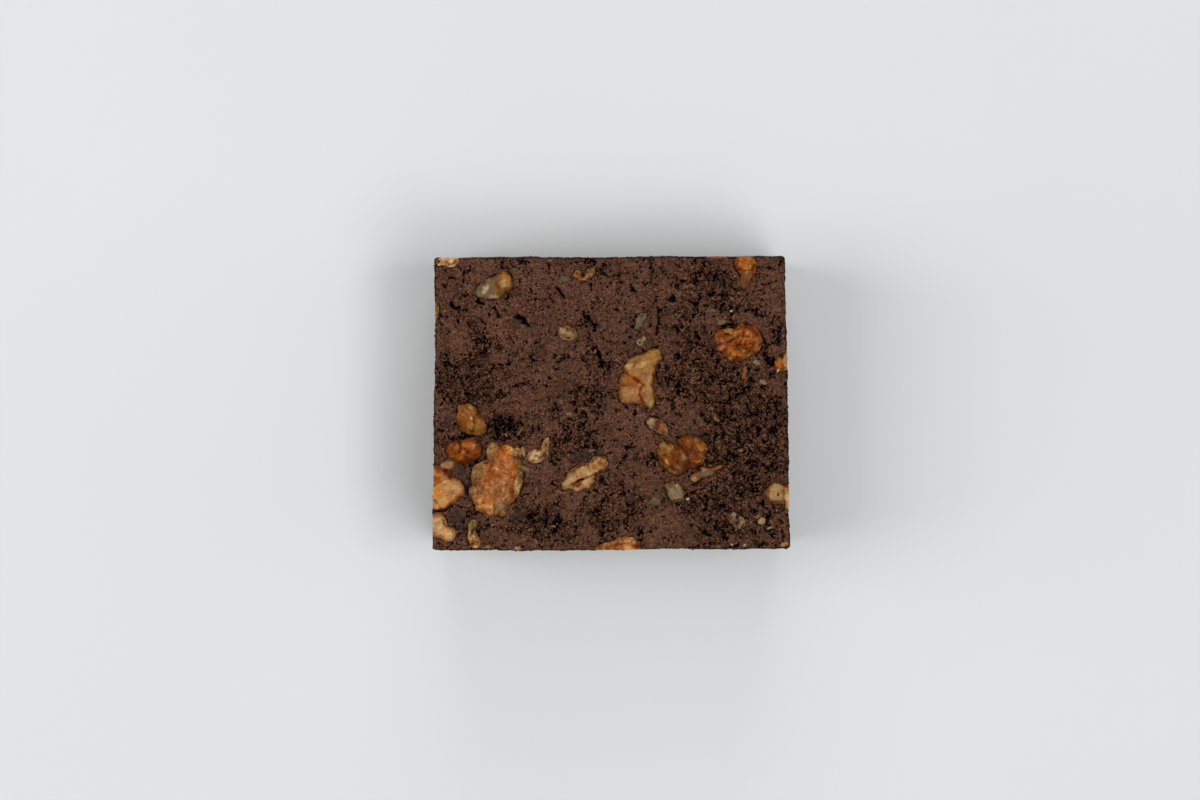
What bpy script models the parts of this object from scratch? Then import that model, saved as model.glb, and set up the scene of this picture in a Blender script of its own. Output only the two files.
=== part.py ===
"""A cut block of chocolate brownie with broken walnut pieces set into its top and its cut sides.

Metres, +Z up. The origin is the middle of the block's flat underside, +X runs along the block's
longer side and -Y is its front. Each walnut piece is a solid of its own: some rounded lobes grown
together, in a pocket of the crumb that leaves a small gap all round. A piece that meets a side is
sliced off flush with it.
"""

import math
from collections import namedtuple

import bmesh
import bpy
from mathutils import Matrix, Vector, noise

MM = 0.001

# The block.
LENGTH = 66.0 * MM
WIDTH = 54.4 * MM
HEIGHT = 27.0 * MM
CUTS = 7  # cuts across each face of the block
EDGE_ROUND = 0.9 * MM  # crumbly rounding of every edge
EDGE_STEPS = 2
BELLY = 0.35 * MM  # how far the sides swell out half way up
WAVE = 0.25 * MM  # how far the top and the sides rise and dip
WAVE_LENGTH = 17.0 * MM
WAVE_SEEDS = (3.1, 7.7, 5.3)  # along X, along Y and upwards
SHARP = 45  # degrees: edges sharper than this are rounded
# How far each upper corner lies inside (positive) the plain rectangle, along X and along Y.
CORNER_INSET = {
    (-1, 1): (0.6 * MM, 0.3 * MM),
    (1, 1): (0.8 * MM, 0.0),
    (1, -1): (-0.2 * MM, 0.3 * MM),
    (-1, -1): (0.0, -0.1 * MM),
}

# The walnuts.
POCKET_GAP = 0.45 * MM  # between a walnut piece and the crumb round it
SEAT = 0.35 * MM  # the widest ring of a piece lies this far under the face it shows at
LUMP = 0.18 * MM  # how far a piece's surface departs from its smooth form
LUMP_LENGTH = 2.6 * MM
LUMP_SEED = 4
FLATNESS = 0.6  # below 1 a lobe is flatter than a ball on the side that shows
FULLNESS = 0.85  # the same, for the side that is sunk in the crumb
POLE = 0.01  # this close to its middle a lobe is no flatter
LOBE_FACETS = (16, 10)  # round and up a lobe, before it grows together with the next
GROWN_GRAIN = 0.35 * MM  # how finely the lobes of a piece are grown together
FACETS_KEPT = 0.042  # share of those fine facets that stays
TRIMMER_RISE = 4.0 * MM  # the shape that slices the pieces off stands this much taller

WALNUT_SKIN = (0.50, 0.22, 0.06, 1)
WALNUT_FLESH = (0.72, 0.50, 0.24, 1)
CRUMB = (0.075, 0.036, 0.024, 1)

# A rounded lobe of a walnut piece, in mm and degrees on the face that it shows at: where its
# middle lies, its length and width, how far its length is turned from the face's own X, and how
# high it rises and how deep it goes as a share of its piece's.
Lobe = namedtuple("Lobe", "x y length width turn share", defaults=(0, 1.0))

# A walnut piece: the face it shows at, how far it stands out of it and goes into it in mm, its
# colour and its lobes. The top's own X and Y are the block's; a side's are along its foot and up.
Piece = namedtuple("Piece", "name face proud deep finish lobes")

PIECES = [
    # Set into the top, from the back to the front.
    Piece("walnut_back_strip", "top", 0.25, 3.6, WALNUT_FLESH, [
        Lobe(-29.7, 26.3, 3.8, 2.2, -5), Lobe(-31.4, 26.2, 1.9, 1.6, 40)]),
    Piece("walnut_tongue", "top", 0.4, 4.2, WALNUT_SKIN, [
        Lobe(24.8, 26.0, 4.3, 4.2, 0), Lobe(25.0, 23.4, 5.6, 2.7, 86, 0.8),
        Lobe(25.9, 24.7, 1.9, 2.3, 0, 0.8)]),
    Piece("walnut_curl", "top", 0.2, 1.8, WALNUT_SKIN, [
        Lobe(-5.7, 23.1, 3.0, 1.6, -25), Lobe(-4.6, 23.4, 1.9, 1.4, 30), Lobe(-3.6, 24.4, 2.5, 1.6, 78),
        Lobe(-6.5, 23.8, 1.8, 1.1, 85, 0.9)]),
    Piece("walnut_wedge", "top", 0.4, 3.2, WALNUT_FLESH, [
        Lobe(-22.9, 21.1, 4.8, 3.5, 28, 0.8), Lobe(-21.6, 20.1, 2.9, 2.2, 10, 0.7),
        Lobe(-19.6, 22.3, 4.6, 3.0, 102), Lobe(-20.5, 20.3, 2.4, 1.9, 70, 0.8),
        Lobe(-21.3, 22.5, 2.8, 1.8, 38, 0.7)]),
    Piece("walnut_left_strip", "top", 0.2, 3.6, WALNUT_FLESH, [
        Lobe(-32.7, 16.8, 3.8, 2.3, 88)]),
    Piece("walnut_upper_flake", "top", 0.12, 1.5, WALNUT_FLESH, [
        Lobe(5.6, 15.1, 3.7, 2.3, 62)]),
    Piece("walnut_button", "top", 0.3, 2.4, WALNUT_FLESH, [
        Lobe(-7.9, 12.9, 3.9, 3.1, 5), Lobe(-8.9, 14.1, 2.1, 1.2, -15, 0.7)]),
    Piece("walnut_lower_flake", "top", 0.12, 1.2, WALNUT_FLESH, [
        Lobe(5.7, 11.4, 3.6, 1.5, 35)]),
    Piece("walnut_wrinkled", "top", 0.5, 4.2, WALNUT_SKIN, [
        Lobe(21.4, 12.0, 4.9, 3.9, -18), Lobe(25.4, 11.7, 5.4, 5.6, 30), Lobe(23.3, 9.5, 5.2, 3.6, 0),
        Lobe(20.4, 10.6, 2.4, 2.2, 0, 0.8), Lobe(20.4, 13.0, 2.3, 1.9, 0, 0.9),
        Lobe(23.9, 14.1, 1.9, 1.1, 65, 0.6), Lobe(22.3, 13.1, 4.0, 1.8, 0, 0.9),
        Lobe(23.4, 8.7, 4.8, 2.2, 0, 0.9)]),
    Piece("walnut_right_sliver", "top", 0.3, 4.0, WALNUT_FLESH, [
        Lobe(31.5, 7.2, 3.3, 2.6, 60), Lobe(32.7, 8.2, 4.2, 2.2, 82)]),
    Piece("walnut_forked", "top", 0.55, 4.6, WALNUT_FLESH, [
        Lobe(3.7, 6.9, 2.7, 2.4, 20), Lobe(5.4, 7.7, 4.0, 2.6, 25), Lobe(7.8, 8.6, 3.7, 3.0, 10),
        Lobe(7.3, 5.0, 5.0, 2.0, 85), Lobe(7.1, 1.3, 5.2, 2.5, 97), Lobe(3.8, 3.9, 4.9, 4.1, 0, 0.9),
        Lobe(3.6, 1.5, 4.8, 3.8, 10), Lobe(5.3, 1.0, 2.6, 2.6, 0, 0.8),
        Lobe(5.6, 5.4, 3.0, 2.6, 0, 0.7)]),
    Piece("walnut_round", "top", 0.5, 4.2, WALNUT_SKIN, [
        Lobe(-26.5, -2.4, 5.0, 4.3, 95), Lobe(-24.4, -4.1, 3.9, 2.7, 100, 0.9),
        Lobe(-26.5, -4.5, 3.2, 2.6, 0, 0.8), Lobe(-25.0, -2.9, 2.6, 2.6, 0, 0.9)]),
    Piece("walnut_pip", "top", 0.15, 1.8, WALNUT_FLESH, [
        Lobe(7.7, -3.7, 2.6, 2.5, 0), Lobe(9.2, -4.5, 3.5, 2.3, -35)]),
    Piece("walnut_bean", "top", 0.5, 3.9, WALNUT_SKIN, [
        Lobe(-28.4, -9.0, 4.7, 4.2, -10), Lobe(-26.0, -8.6, 4.4, 4.2, -30),
        Lobe(-27.3, -10.1, 3.4, 2.5, 0, 0.8)]),
    Piece("walnut_heart", "top", 0.45, 4.4, WALNUT_SKIN, [
        Lobe(11.2, -10.2, 7.4, 4.5, -55), Lobe(15.2, -8.6, 5.7, 5.6, 0, 0.9),
        Lobe(15.5, -10.7, 3.3, 3.1, 0, 0.8), Lobe(13.3, -7.5, 2.6, 2.2, 40, 0.8),
        Lobe(13.9, -10.4, 4.2, 2.6, -60, 0.7), Lobe(14.6, -6.9, 3.6, 2.5, -10, 0.9),
        Lobe(10.0, -8.5, 3.0, 3.2, 0, 0.9)]),
    Piece("walnut_crescent", "top", 0.3, 2.6, WALNUT_FLESH, [
        Lobe(-14.0, -9.8, 3.7, 2.7, 12), Lobe(-12.0, -8.1, 4.4, 1.5, 76, 0.8),
        Lobe(-12.7, -9.5, 2.8, 2.5, 50, 0.9)]),
    Piece("walnut_tail", "top", 0.25, 1.6, WALNUT_FLESH, [
        Lobe(15.6, -13.7, 2.5, 1.5, 48), Lobe(17.4, -12.9, 3.6, 2.2, 14),
        Lobe(20.0, -11.9, 3.4, 0.9, 16, 0.7)]),
    Piece("walnut_bar", "top", 0.45, 3.2, WALNUT_FLESH, [
        Lobe(-7.4, -14.3, 5.2, 2.1, 42), Lobe(-4.9, -12.5, 4.2, 2.4, 32), Lobe(-2.3, -11.1, 3.6, 2.8, 20),
        Lobe(-5.8, -15.6, 3.0, 1.8, 20, 0.8), Lobe(-4.1, -14.7, 2.9, 2.0, 42, 0.8),
        Lobe(-3.3, -13.3, 2.3, 1.7, 75, 0.8), Lobe(-6.1, -12.8, 4.0, 2.4, 38, 0.9),
        Lobe(-3.6, -12.4, 2.6, 2.4, 0, 0.8), Lobe(-5.1, -14.0, 3.0, 2.0, 35, 0.8)]),
    Piece("walnut_large", "top", 0.6, 5.6, WALNUT_SKIN, [
        Lobe(-21.8, -8.9, 3.9, 3.0, 75, 0.8), Lobe(-19.4, -9.4, 3.8, 3.1, 80),
        Lobe(-21.3, -14.6, 9.6, 8.4, 90), Lobe(-24.2, -13.1, 4.0, 3.6, 70, 0.8),
        Lobe(-24.8, -16.7, 4.1, 3.0, 100, 0.9), Lobe(-23.2, -18.9, 3.9, 3.4, 0, 0.8),
        Lobe(-20.4, -19.6, 3.4, 3.0, 0, 0.7), Lobe(-17.2, -13.4, 8.2, 2.2, 85, 0.9),
        Lobe(-17.3, -9.2, 2.1, 1.7, 90, 0.7), Lobe(-19.4, -17.6, 3.6, 3.4, 0, 0.8),
        Lobe(-21.8, -19.8, 3.0, 2.4, 0, 0.7), Lobe(-21.0, -10.6, 4.0, 3.4, 0, 0.9),
        Lobe(-20.6, -9.4, 2.3, 3.0, 90, 0.9), Lobe(-18.3, -11.2, 2.4, 3.6, 0, 0.9)]),
    Piece("walnut_left_large", "top", 0.5, 5.8, WALNUT_FLESH, [
        Lobe(-31.4, -13.6, 4.6, 4.2, 90), Lobe(-29.5, -15.7, 5.0, 3.9, -5),
        Lobe(-31.8, -17.6, 4.6, 4.6, 60), Lobe(-29.9, -17.3, 3.6, 3.2, 40, 0.9)]),
    Piece("walnut_kite", "top", 0.15, 2.0, WALNUT_FLESH, [
        Lobe(11.4, -15.4, 3.2, 2.5, 0), Lobe(11.9, -17.0, 3.5, 2.9, -70), Lobe(12.8, -16.5, 2.0, 1.7, -40)]),
    Piece("walnut_right_knob", "top", 0.45, 4.4, WALNUT_FLESH, [
        Lobe(30.7, -16.9, 4.4, 3.9, 20), Lobe(32.8, -17.4, 5.0, 2.2, 96)]),
    Piece("walnut_crumbly", "top", 0.2, 2.0, WALNUT_FLESH, [
        Lobe(22.9, -21.4, 2.6, 2.4, 0), Lobe(24.1, -21.7, 1.7, 1.8, 0), Lobe(23.4, -22.8, 2.0, 1.7, 70)]),
    Piece("walnut_left_block", "top", 0.35, 4.4, WALNUT_FLESH, [
        Lobe(-32.0, -22.7, 5.1, 3.3, 92), Lobe(-30.3, -24.3, 3.2, 3.0, 0)]),
    Piece("walnut_pear", "top", 0.3, 2.4, WALNUT_SKIN, [
        Lobe(-25.4, -22.8, 3.0, 1.8, 82), Lobe(-25.3, -25.2, 3.6, 2.6, 100)]),
    Piece("walnut_front_arch", "top", 0.3, 3.6, WALNUT_SKIN, [
        Lobe(-0.1, -27.0, 6.2, 3.0, 12), Lobe(3.4, -26.8, 5.4, 4.5, -12),
        Lobe(1.7, -25.8, 2.6, 2.0, 25, 0.9)]),
    # Sliced open at the four sides.
    Piece("walnut_front_left", "front", 0.6, 3.6, WALNUT_FLESH, [
        Lobe(-19.0, 11.5, 7.0, 4.3, 20), Lobe(-16.2, 13.5, 4.4, 3.2, 70)]),
    Piece("walnut_front_right", "front", 0.6, 3.2, WALNUT_FLESH, [
        Lobe(17.5, 16.8, 5.2, 3.6, -30)]),
    Piece("walnut_front_low", "front", 0.6, 2.6, WALNUT_FLESH, [
        Lobe(5.5, 7.2, 4.2, 2.6, 15)]),
    Piece("walnut_right_front", "right", 0.6, 3.6, WALNUT_FLESH, [
        Lobe(-2.0, 12.6, 6.4, 4.0, -55), Lobe(-4.1, 11.4, 3.9, 2.9, 20)]),
    Piece("walnut_right_back", "right", 0.6, 2.8, WALNUT_FLESH, [
        Lobe(16.5, 9.0, 4.6, 3.1, 30)]),
    Piece("walnut_back_right", "back", 0.6, 3.2, WALNUT_FLESH, [
        Lobe(-12.0, 15.2, 6.2, 3.6, -15)]),
    Piece("walnut_back_left", "back", 0.6, 3.6, WALNUT_FLESH, [
        Lobe(14.5, 9.5, 5.4, 4.3, 50), Lobe(16.8, 8.2, 3.9, 2.6, 0)]),
    Piece("walnut_left_back", "left", 0.6, 3.4, WALNUT_FLESH, [
        Lobe(-9.0, 10.8, 6.0, 3.9, 35)]),
    Piece("walnut_left_front", "left", 0.6, 2.8, WALNUT_FLESH, [
        Lobe(7.5, 7.0, 4.3, 3.1, -40)]),
]


def clear_scene():
    for thing in list(bpy.data.objects):
        bpy.data.objects.remove(thing)


def collection(name):
    group = bpy.data.collections.new(name)
    bpy.context.scene.collection.children.link(group)
    return group


def principled(name, colour, roughness):
    material = bpy.data.materials.new(name)
    material.use_nodes = True
    shader = material.node_tree.nodes["Principled BSDF"]
    shader.inputs["Base Color"].default_value = colour
    shader.inputs["Roughness"].default_value = roughness
    shader.inputs["Metallic"].default_value = 0.0
    return material


def put_in(thing, group):
    """Moves an object into one collection and out of every other."""
    for old in list(thing.users_collection):
        old.objects.unlink(thing)
    group.objects.link(thing)
    return thing


def as_cutter(thing, group):
    """Hides an object that only cuts others."""
    thing.hide_render = True
    thing.display_type = "WIRE"
    return put_in(thing, group)


def reshaped(thing, move):
    """Runs move(bm) on the object's mesh."""
    bm = bmesh.new()
    bm.from_mesh(thing.data)
    move(bm)
    bm.to_mesh(thing.data)
    bm.free()
    return thing


def wave(point, seed):
    """A smooth random swell from -1 to 1."""
    return noise.noise(point / WAVE_LENGTH + Vector((seed, -seed, 0.5 * seed)))


def uneven(point):
    """Where a point of the plain block lies on the hand-cut one. The underside stays flat."""
    x, y, z = point
    east, north, up = 2 * x / LENGTH, 2 * y / WIDTH, z / HEIGHT
    for (side_x, side_y), (inset_x, inset_y) in CORNER_INSET.items():
        share = (1 + side_x * east) / 2 * (1 + side_y * north) / 2 * up
        x -= side_x * inset_x * share
        y -= side_y * inset_y * share
    swell = BELLY * math.sin(math.pi * up)
    x += east * (swell + WAVE * wave(point, WAVE_SEEDS[0]) * abs(east))
    y += north * (swell + WAVE * wave(point, WAVE_SEEDS[1]) * abs(north))
    z += WAVE * wave(point, WAVE_SEEDS[2]) * up
    return Vector((x, y, z))


def block(name):
    """The block before its edges are rounded and its pockets cut."""
    bpy.ops.mesh.primitive_cube_add(size=1, location=(0, 0, 0))
    thing = bpy.context.object
    thing.name = name

    def shape(bm):
        bmesh.ops.scale(bm, vec=(LENGTH, WIDTH, HEIGHT), verts=bm.verts)
        bmesh.ops.translate(bm, vec=(0, 0, HEIGHT / 2), verts=bm.verts)
        bmesh.ops.subdivide_edges(bm, edges=bm.edges, cuts=CUTS, use_grid_fill=True)
        for vert in bm.verts:
            vert.co = uneven(vert.co)

    return reshaped(thing, shape)


def trimmer():
    """The block's four sides carried on upwards: what slices a walnut piece off at a side."""
    thing = block("trimmer")

    def raise_top(bm):
        tops = [f for f in bm.faces if f.normal.z > 0.7]
        made = bmesh.ops.extrude_face_region(bm, geom=tops)
        risen = [v for v in made["geom"] if isinstance(v, bmesh.types.BMVert)]
        bmesh.ops.translate(bm, vec=(0, 0, TRIMMER_RISE), verts=risen)
        bmesh.ops.delete(bm, geom=tops, context="FACES_ONLY")
        bmesh.ops.recalc_face_normals(bm, faces=bm.faces)

    return reshaped(thing, raise_top)


def face_frame(face):
    """The matrix from a face's own X, Y and outward Z to the block's."""
    if face == "top":
        return Matrix.Translation((0, 0, HEIGHT))
    quarter = {"front": 0, "right": 1, "back": 2, "left": 3}[face]
    away = LENGTH / 2 if quarter % 2 else WIDTH / 2
    upright = Matrix.Rotation(math.pi / 2, 4, "X")
    return Matrix.Rotation(quarter * math.pi / 2, 4, "Z") @ Matrix.Translation((0, -away, 0)) @ upright


def add_lobe(bm, piece, lobe, grown):
    """A ball squashed to the lobe: flat where it shows, rounder where it is sunk."""
    around, upwards = LOBE_FACETS
    ball = bmesh.ops.create_uvsphere(bm, u_segments=around, v_segments=upwards, radius=1)
    rise = piece.proud * MM * lobe.share + SEAT + grown
    sink = piece.deep * MM * lobe.share - SEAT + grown
    turn = Matrix.Rotation(math.radians(lobe.turn), 4, "Z")
    middle = Vector((lobe.x * MM, lobe.y * MM, -SEAT))
    for vert in ball["verts"]:
        x, y, z = vert.co
        fullness, reach = (FLATNESS, rise) if z > 0 else (FULLNESS, sink)
        spread = max(math.hypot(x, y), POLE) ** (fullness - 1)
        flat = Vector((x * spread * (lobe.length * MM / 2 + grown),
                       y * spread * (lobe.width * MM / 2 + grown),
                       z * reach))
        spot = turn @ flat + middle
        lump = LUMP * noise.noise_vector(spot / LUMP_LENGTH)
        vert.co = face_frame(piece.face) @ (spot + lump)


def walnut(name, pieces, grown=0.0):
    """The pieces' lobes grown together into one object."""
    mesh = bpy.data.meshes.new(name)
    thing = bpy.data.objects.new(name, mesh)
    bpy.context.scene.collection.objects.link(thing)

    def shape(bm):
        for piece in pieces:
            for lobe in piece.lobes:
                add_lobe(bm, piece, lobe, grown)

    reshaped(thing, shape)
    together = thing.modifiers.new("Grown together", "REMESH")
    together.mode = "VOXEL"
    together.voxel_size = GROWN_GRAIN
    thinned = thing.modifiers.new("Thinned", "DECIMATE")
    thinned.ratio = FACETS_KEPT
    return thing


def boolean(thing, other, operation):
    modifier = thing.modifiers.new(operation.title(), "BOOLEAN")
    modifier.operation = operation
    modifier.object = other


def round_edges(thing):
    modifier = thing.modifiers.new("Edges", "BEVEL")
    modifier.width = EDGE_ROUND
    modifier.segments = EDGE_STEPS
    modifier.limit_method = "ANGLE"
    modifier.angle_limit = math.radians(SHARP)


def build():
    clear_scene()
    noise.seed_set(LUMP_SEED)
    parts = collection("chocolate_brownie")
    helpers = collection("cutters")
    looks = {WALNUT_SKIN: principled("walnut_skin", WALNUT_SKIN, 0.45),
             WALNUT_FLESH: principled("walnut_flesh", WALNUT_FLESH, 0.55)}

    knife = as_cutter(trimmer(), helpers)
    for piece in PIECES:
        thing = put_in(walnut(piece.name, [piece]), parts)
        thing.data.materials.append(looks[piece.finish])
        boolean(thing, knife, "INTERSECT")

    pockets = as_cutter(walnut("pockets", PIECES, POCKET_GAP), helpers)
    brownie = put_in(block("brownie"), parts)
    brownie.data.materials.append(principled("crumb", CRUMB, 0.85))
    round_edges(brownie)
    boolean(brownie, pockets, "DIFFERENCE")


build()
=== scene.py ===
"""A cut block of chocolate brownie with broken walnut set into its top and its cut sides.

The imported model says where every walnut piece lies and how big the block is. Here the crumb is
modelled as one fine closed skin that closes up round the nuts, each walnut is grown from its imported
solid and gets its lobes, creases and colours, and loose crumbs, nut chips and flakes are added.
Sizes and places in the tables are in mm, and so are the heights of relief. Everything else is in
metres. The origin is the middle of the block's underside, +X runs along its longer side and -Y is
its front.
"""

import math
from collections import namedtuple
from itertools import starmap

import bmesh
import bpy
import numpy as np
from mathutils import Matrix, Vector, noise
from mathutils.bvhtree import BVHTree
from mathutils.kdtree import KDTree


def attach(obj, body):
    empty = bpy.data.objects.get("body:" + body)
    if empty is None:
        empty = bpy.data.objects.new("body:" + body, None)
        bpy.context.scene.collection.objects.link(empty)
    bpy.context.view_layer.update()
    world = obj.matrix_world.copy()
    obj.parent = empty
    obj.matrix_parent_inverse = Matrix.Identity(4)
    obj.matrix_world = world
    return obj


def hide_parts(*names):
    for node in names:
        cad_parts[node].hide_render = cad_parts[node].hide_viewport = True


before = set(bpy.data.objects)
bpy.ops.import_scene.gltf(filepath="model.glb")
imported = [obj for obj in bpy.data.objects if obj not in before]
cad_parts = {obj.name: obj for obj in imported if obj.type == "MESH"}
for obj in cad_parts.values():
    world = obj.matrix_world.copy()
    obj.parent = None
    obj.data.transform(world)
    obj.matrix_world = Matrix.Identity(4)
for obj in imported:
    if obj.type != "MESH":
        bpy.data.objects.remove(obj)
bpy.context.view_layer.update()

MM = 0.001

# The block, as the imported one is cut.
LENGTH = 66.0 * MM
WIDTH = 54.4 * MM
HEIGHT = 27.0 * MM
EDGE_ROUND = 0.55 * MM
BELLY = 0.35 * MM  # how far the sides swell out half way up
WAVE = 0.25 * MM  # how far the top and the sides rise and dip
WAVE_LENGTH = 17.0 * MM
WAVE_SEEDS = (3.1, 7.7, 5.3)  # along X, along Y and upwards
# How far each upper corner lies inside (positive) the plain rectangle, along X and along Y.
CORNER_INSET = {
    (-1, 1): (0.6 * MM, 0.3 * MM),
    (1, 1): (0.8 * MM, 0.0),
    (1, -1): (-0.2 * MM, 0.3 * MM),
    (-1, -1): (0.0, -0.1 * MM),
}
WELD = 0.001 * MM  # spots this near each other are one
FAR = 4.0 * MM  # nuts and edges further off than this are not felt

# The stage.
FLOOR_SIZE = 6.0
SKY = 0.178
CAMERA_SPOT = (-2.0 * MM, 0.55 * MM, 0.4895)
LENS = 75.0
CLIP_START = 0.01
# Soft lights: each one's name, place, width in metres and power in watts.
LAMPS = [
    ("key_front_right", (0.35, -0.35, 0.9), 0.5, 3.2), ("left_high", (-0.6, 0.0, 0.7), 0.5, 2.5),
    ("left_low", (-0.9, 0.0, 0.35), 0.5, 2.0), ("back_low", (0.0, 0.9, 0.35), 0.5, 2.3),
    ("back_high", (0.0, 0.6, 0.7), 0.5, 0.54), ("right_spot", (0.4, 0.0, 0.8), 0.2, 0.9),
    ("right_high", (0.6, 0.0, 0.7), 0.5, 0.3), ("right_low", (0.9, 0.0, 0.35), 0.5, 0.6),
]

Zone = namedtuple("Zone", "x y across up strength")
Slit = namedtuple("Slit", "points width depth")
Lump = namedtuple("Lump", "x y across up turn rise")
Patch = namedtuple("Patch", "x y across up colour turn strength", defaults=(0, 1.0))
Crease = namedtuple("Crease", "points width depth colour")
Nut = namedtuple("Nut", "base folds streaks vein_colour specks veil patches creases")
Chip = namedtuple("Chip", "x y length width turn colour")
Crumbs = namedtuple("Crumbs", "seed count least largest")
Lamp = namedtuple("Lamp", "name spot size power")

# Nut colours, as a paint chart gives them, 0 to 255.
CREAM = (178, 148, 104)
BUTTER = (186, 134, 76)
TAN = (138, 96, 58)
AMBER = (172, 102, 38)
ORANGE = (158, 78, 26)
RUST = (126, 54, 16)
UMBER = (68, 28, 12)
BROWN = (94, 56, 32)
OLIVE = (118, 94, 62)
MAUVE = (100, 66, 52)
SHEEN = 0.003  # what the gloss of a surface adds to its colour


def tint(red, green, blue):
    """A chart colour made linear, and less the sheen on top of it."""
    return tuple(max(((c / 255 + 0.055) / 1.055) ** 2.4 - SHEEN, 0.002) for c in (red, green, blue))


# Where the top's crumb lies open and rough instead of smeared to a film: x, y, reach across and
# up, and how open it is.
OPEN_CRUMB = [
    (-27.5, 4.5, 7.0, 5.5, 1.0), (-24.5, 10.5, 3.5, 3.5, 0.7), (-27.5, 17.5, 3.2, 3.0, 0.45),
    (-20.0, -4.5, 4.0, 3.0, 0.9), (-15.5, -5.5, 3.5, 2.5, 0.45), (-4.0, 1.6, 5.0, 2.8, 0.95),
    (-6.2, -7.6, 5.2, 4.6, 0.9), (-2.0, 8.0, 3.2, 3.4, 0.5), (8.3, -10.0, 2.2, 2.6, 0.7),
    (-0.5, -15.5, 3.5, 3.5, 0.65), (4.2, -18.2, 2.8, 2.4, 0.7), (1.0, -22.0, 5.0, 3.4, 0.7),
    (-13.5, -22.4, 6.5, 3.6, 0.9), (24.5, -7.0, 9.5, 13.0, 1.0), (18.5, 4.5, 7.0, 6.5, 0.8),
    (27.5, -3.5, 6.0, 5.5, 1.15), (18.5, 22.0, 6.0, 5.5, 0.95), (15.5, 11.5, 4.0, 4.5, 0.7),
    (19.0, -20.0, 7.5, 6.0, 0.85), (28.0, 8.5, 4.0, 3.5, 0.6), (28.0, 22.0, 3.5, 3.0, 0.5),
    (27.5, -22.0, 5.5, 5.0, 0.6), (-30.5, -5.0, 3.0, 4.0, 0.4),
]

# Smaller spots where it is torn open, and spots where it is pressed flat without a gap.
TORN_SPOTS = [
    (10.2, 4.9, 1.8, 2.2, 0.95), (7.4, -10.6, 1.6, 1.5, 0.85), (-1.5, -19.6, 2.2, 1.7, 0.9),
    (-4.6, -19.4, 1.6, 1.5, 0.8), (-22.5, 1.5, 2.4, 2.0, 0.95), (-10.5, -1.5, 1.6, 1.5, 0.75),
    (-10.5, -10.3, 1.5, 1.6, 0.85), (13.5, 16.5, 1.8, 1.5, 0.85), (22.3, -17.6, 2.4, 2.6, 1.0),
    (-25.7, -20.0, 1.2, 1.6, 0.8), (-19.5, 25.4, 1.5, 1.0, 0.8), (-25.5, 7.5, 1.8, 1.7, 1.0),
    (-28.5, 1.5, 1.8, 1.7, 0.95), (29.5, -15.2, 1.4, 1.2, 0.9), (-16.4, -19.4, 1.4, 1.4, 0.8),
    (-31.3, -7.4, 0.9, 1.3, 0.8), (25.5, 4.4, 1.6, 1.4, 0.85),
]
PRESSED_SPOTS = [
    (-28.6, 10.9, 2.4, 2.2, 0.9), (13.6, -22.5, 2.4, 2.2, 0.9), (-5.2, 19.6, 2.5, 2.3, 1.0),
    (-7.4, 16.6, 1.7, 2.0, 0.9), (1.5, -13.3, 1.8, 1.3, 0.8), (-13.5, 13.5, 1.7, 1.7, 0.8),
    (-19.5, -1.3, 1.5, 1.4, 0.8), (22.5, 25.3, 2.2, 1.3, 0.8), (31.2, 3.4, 1.2, 2.2, 0.7),
    (22.6, -21.2, 1.5, 1.2, 0.6), (14.0, 20.4, 2.4, 1.4, 0.5), (-16.8, 19.6, 1.8, 1.5, 0.7),
]

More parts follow.
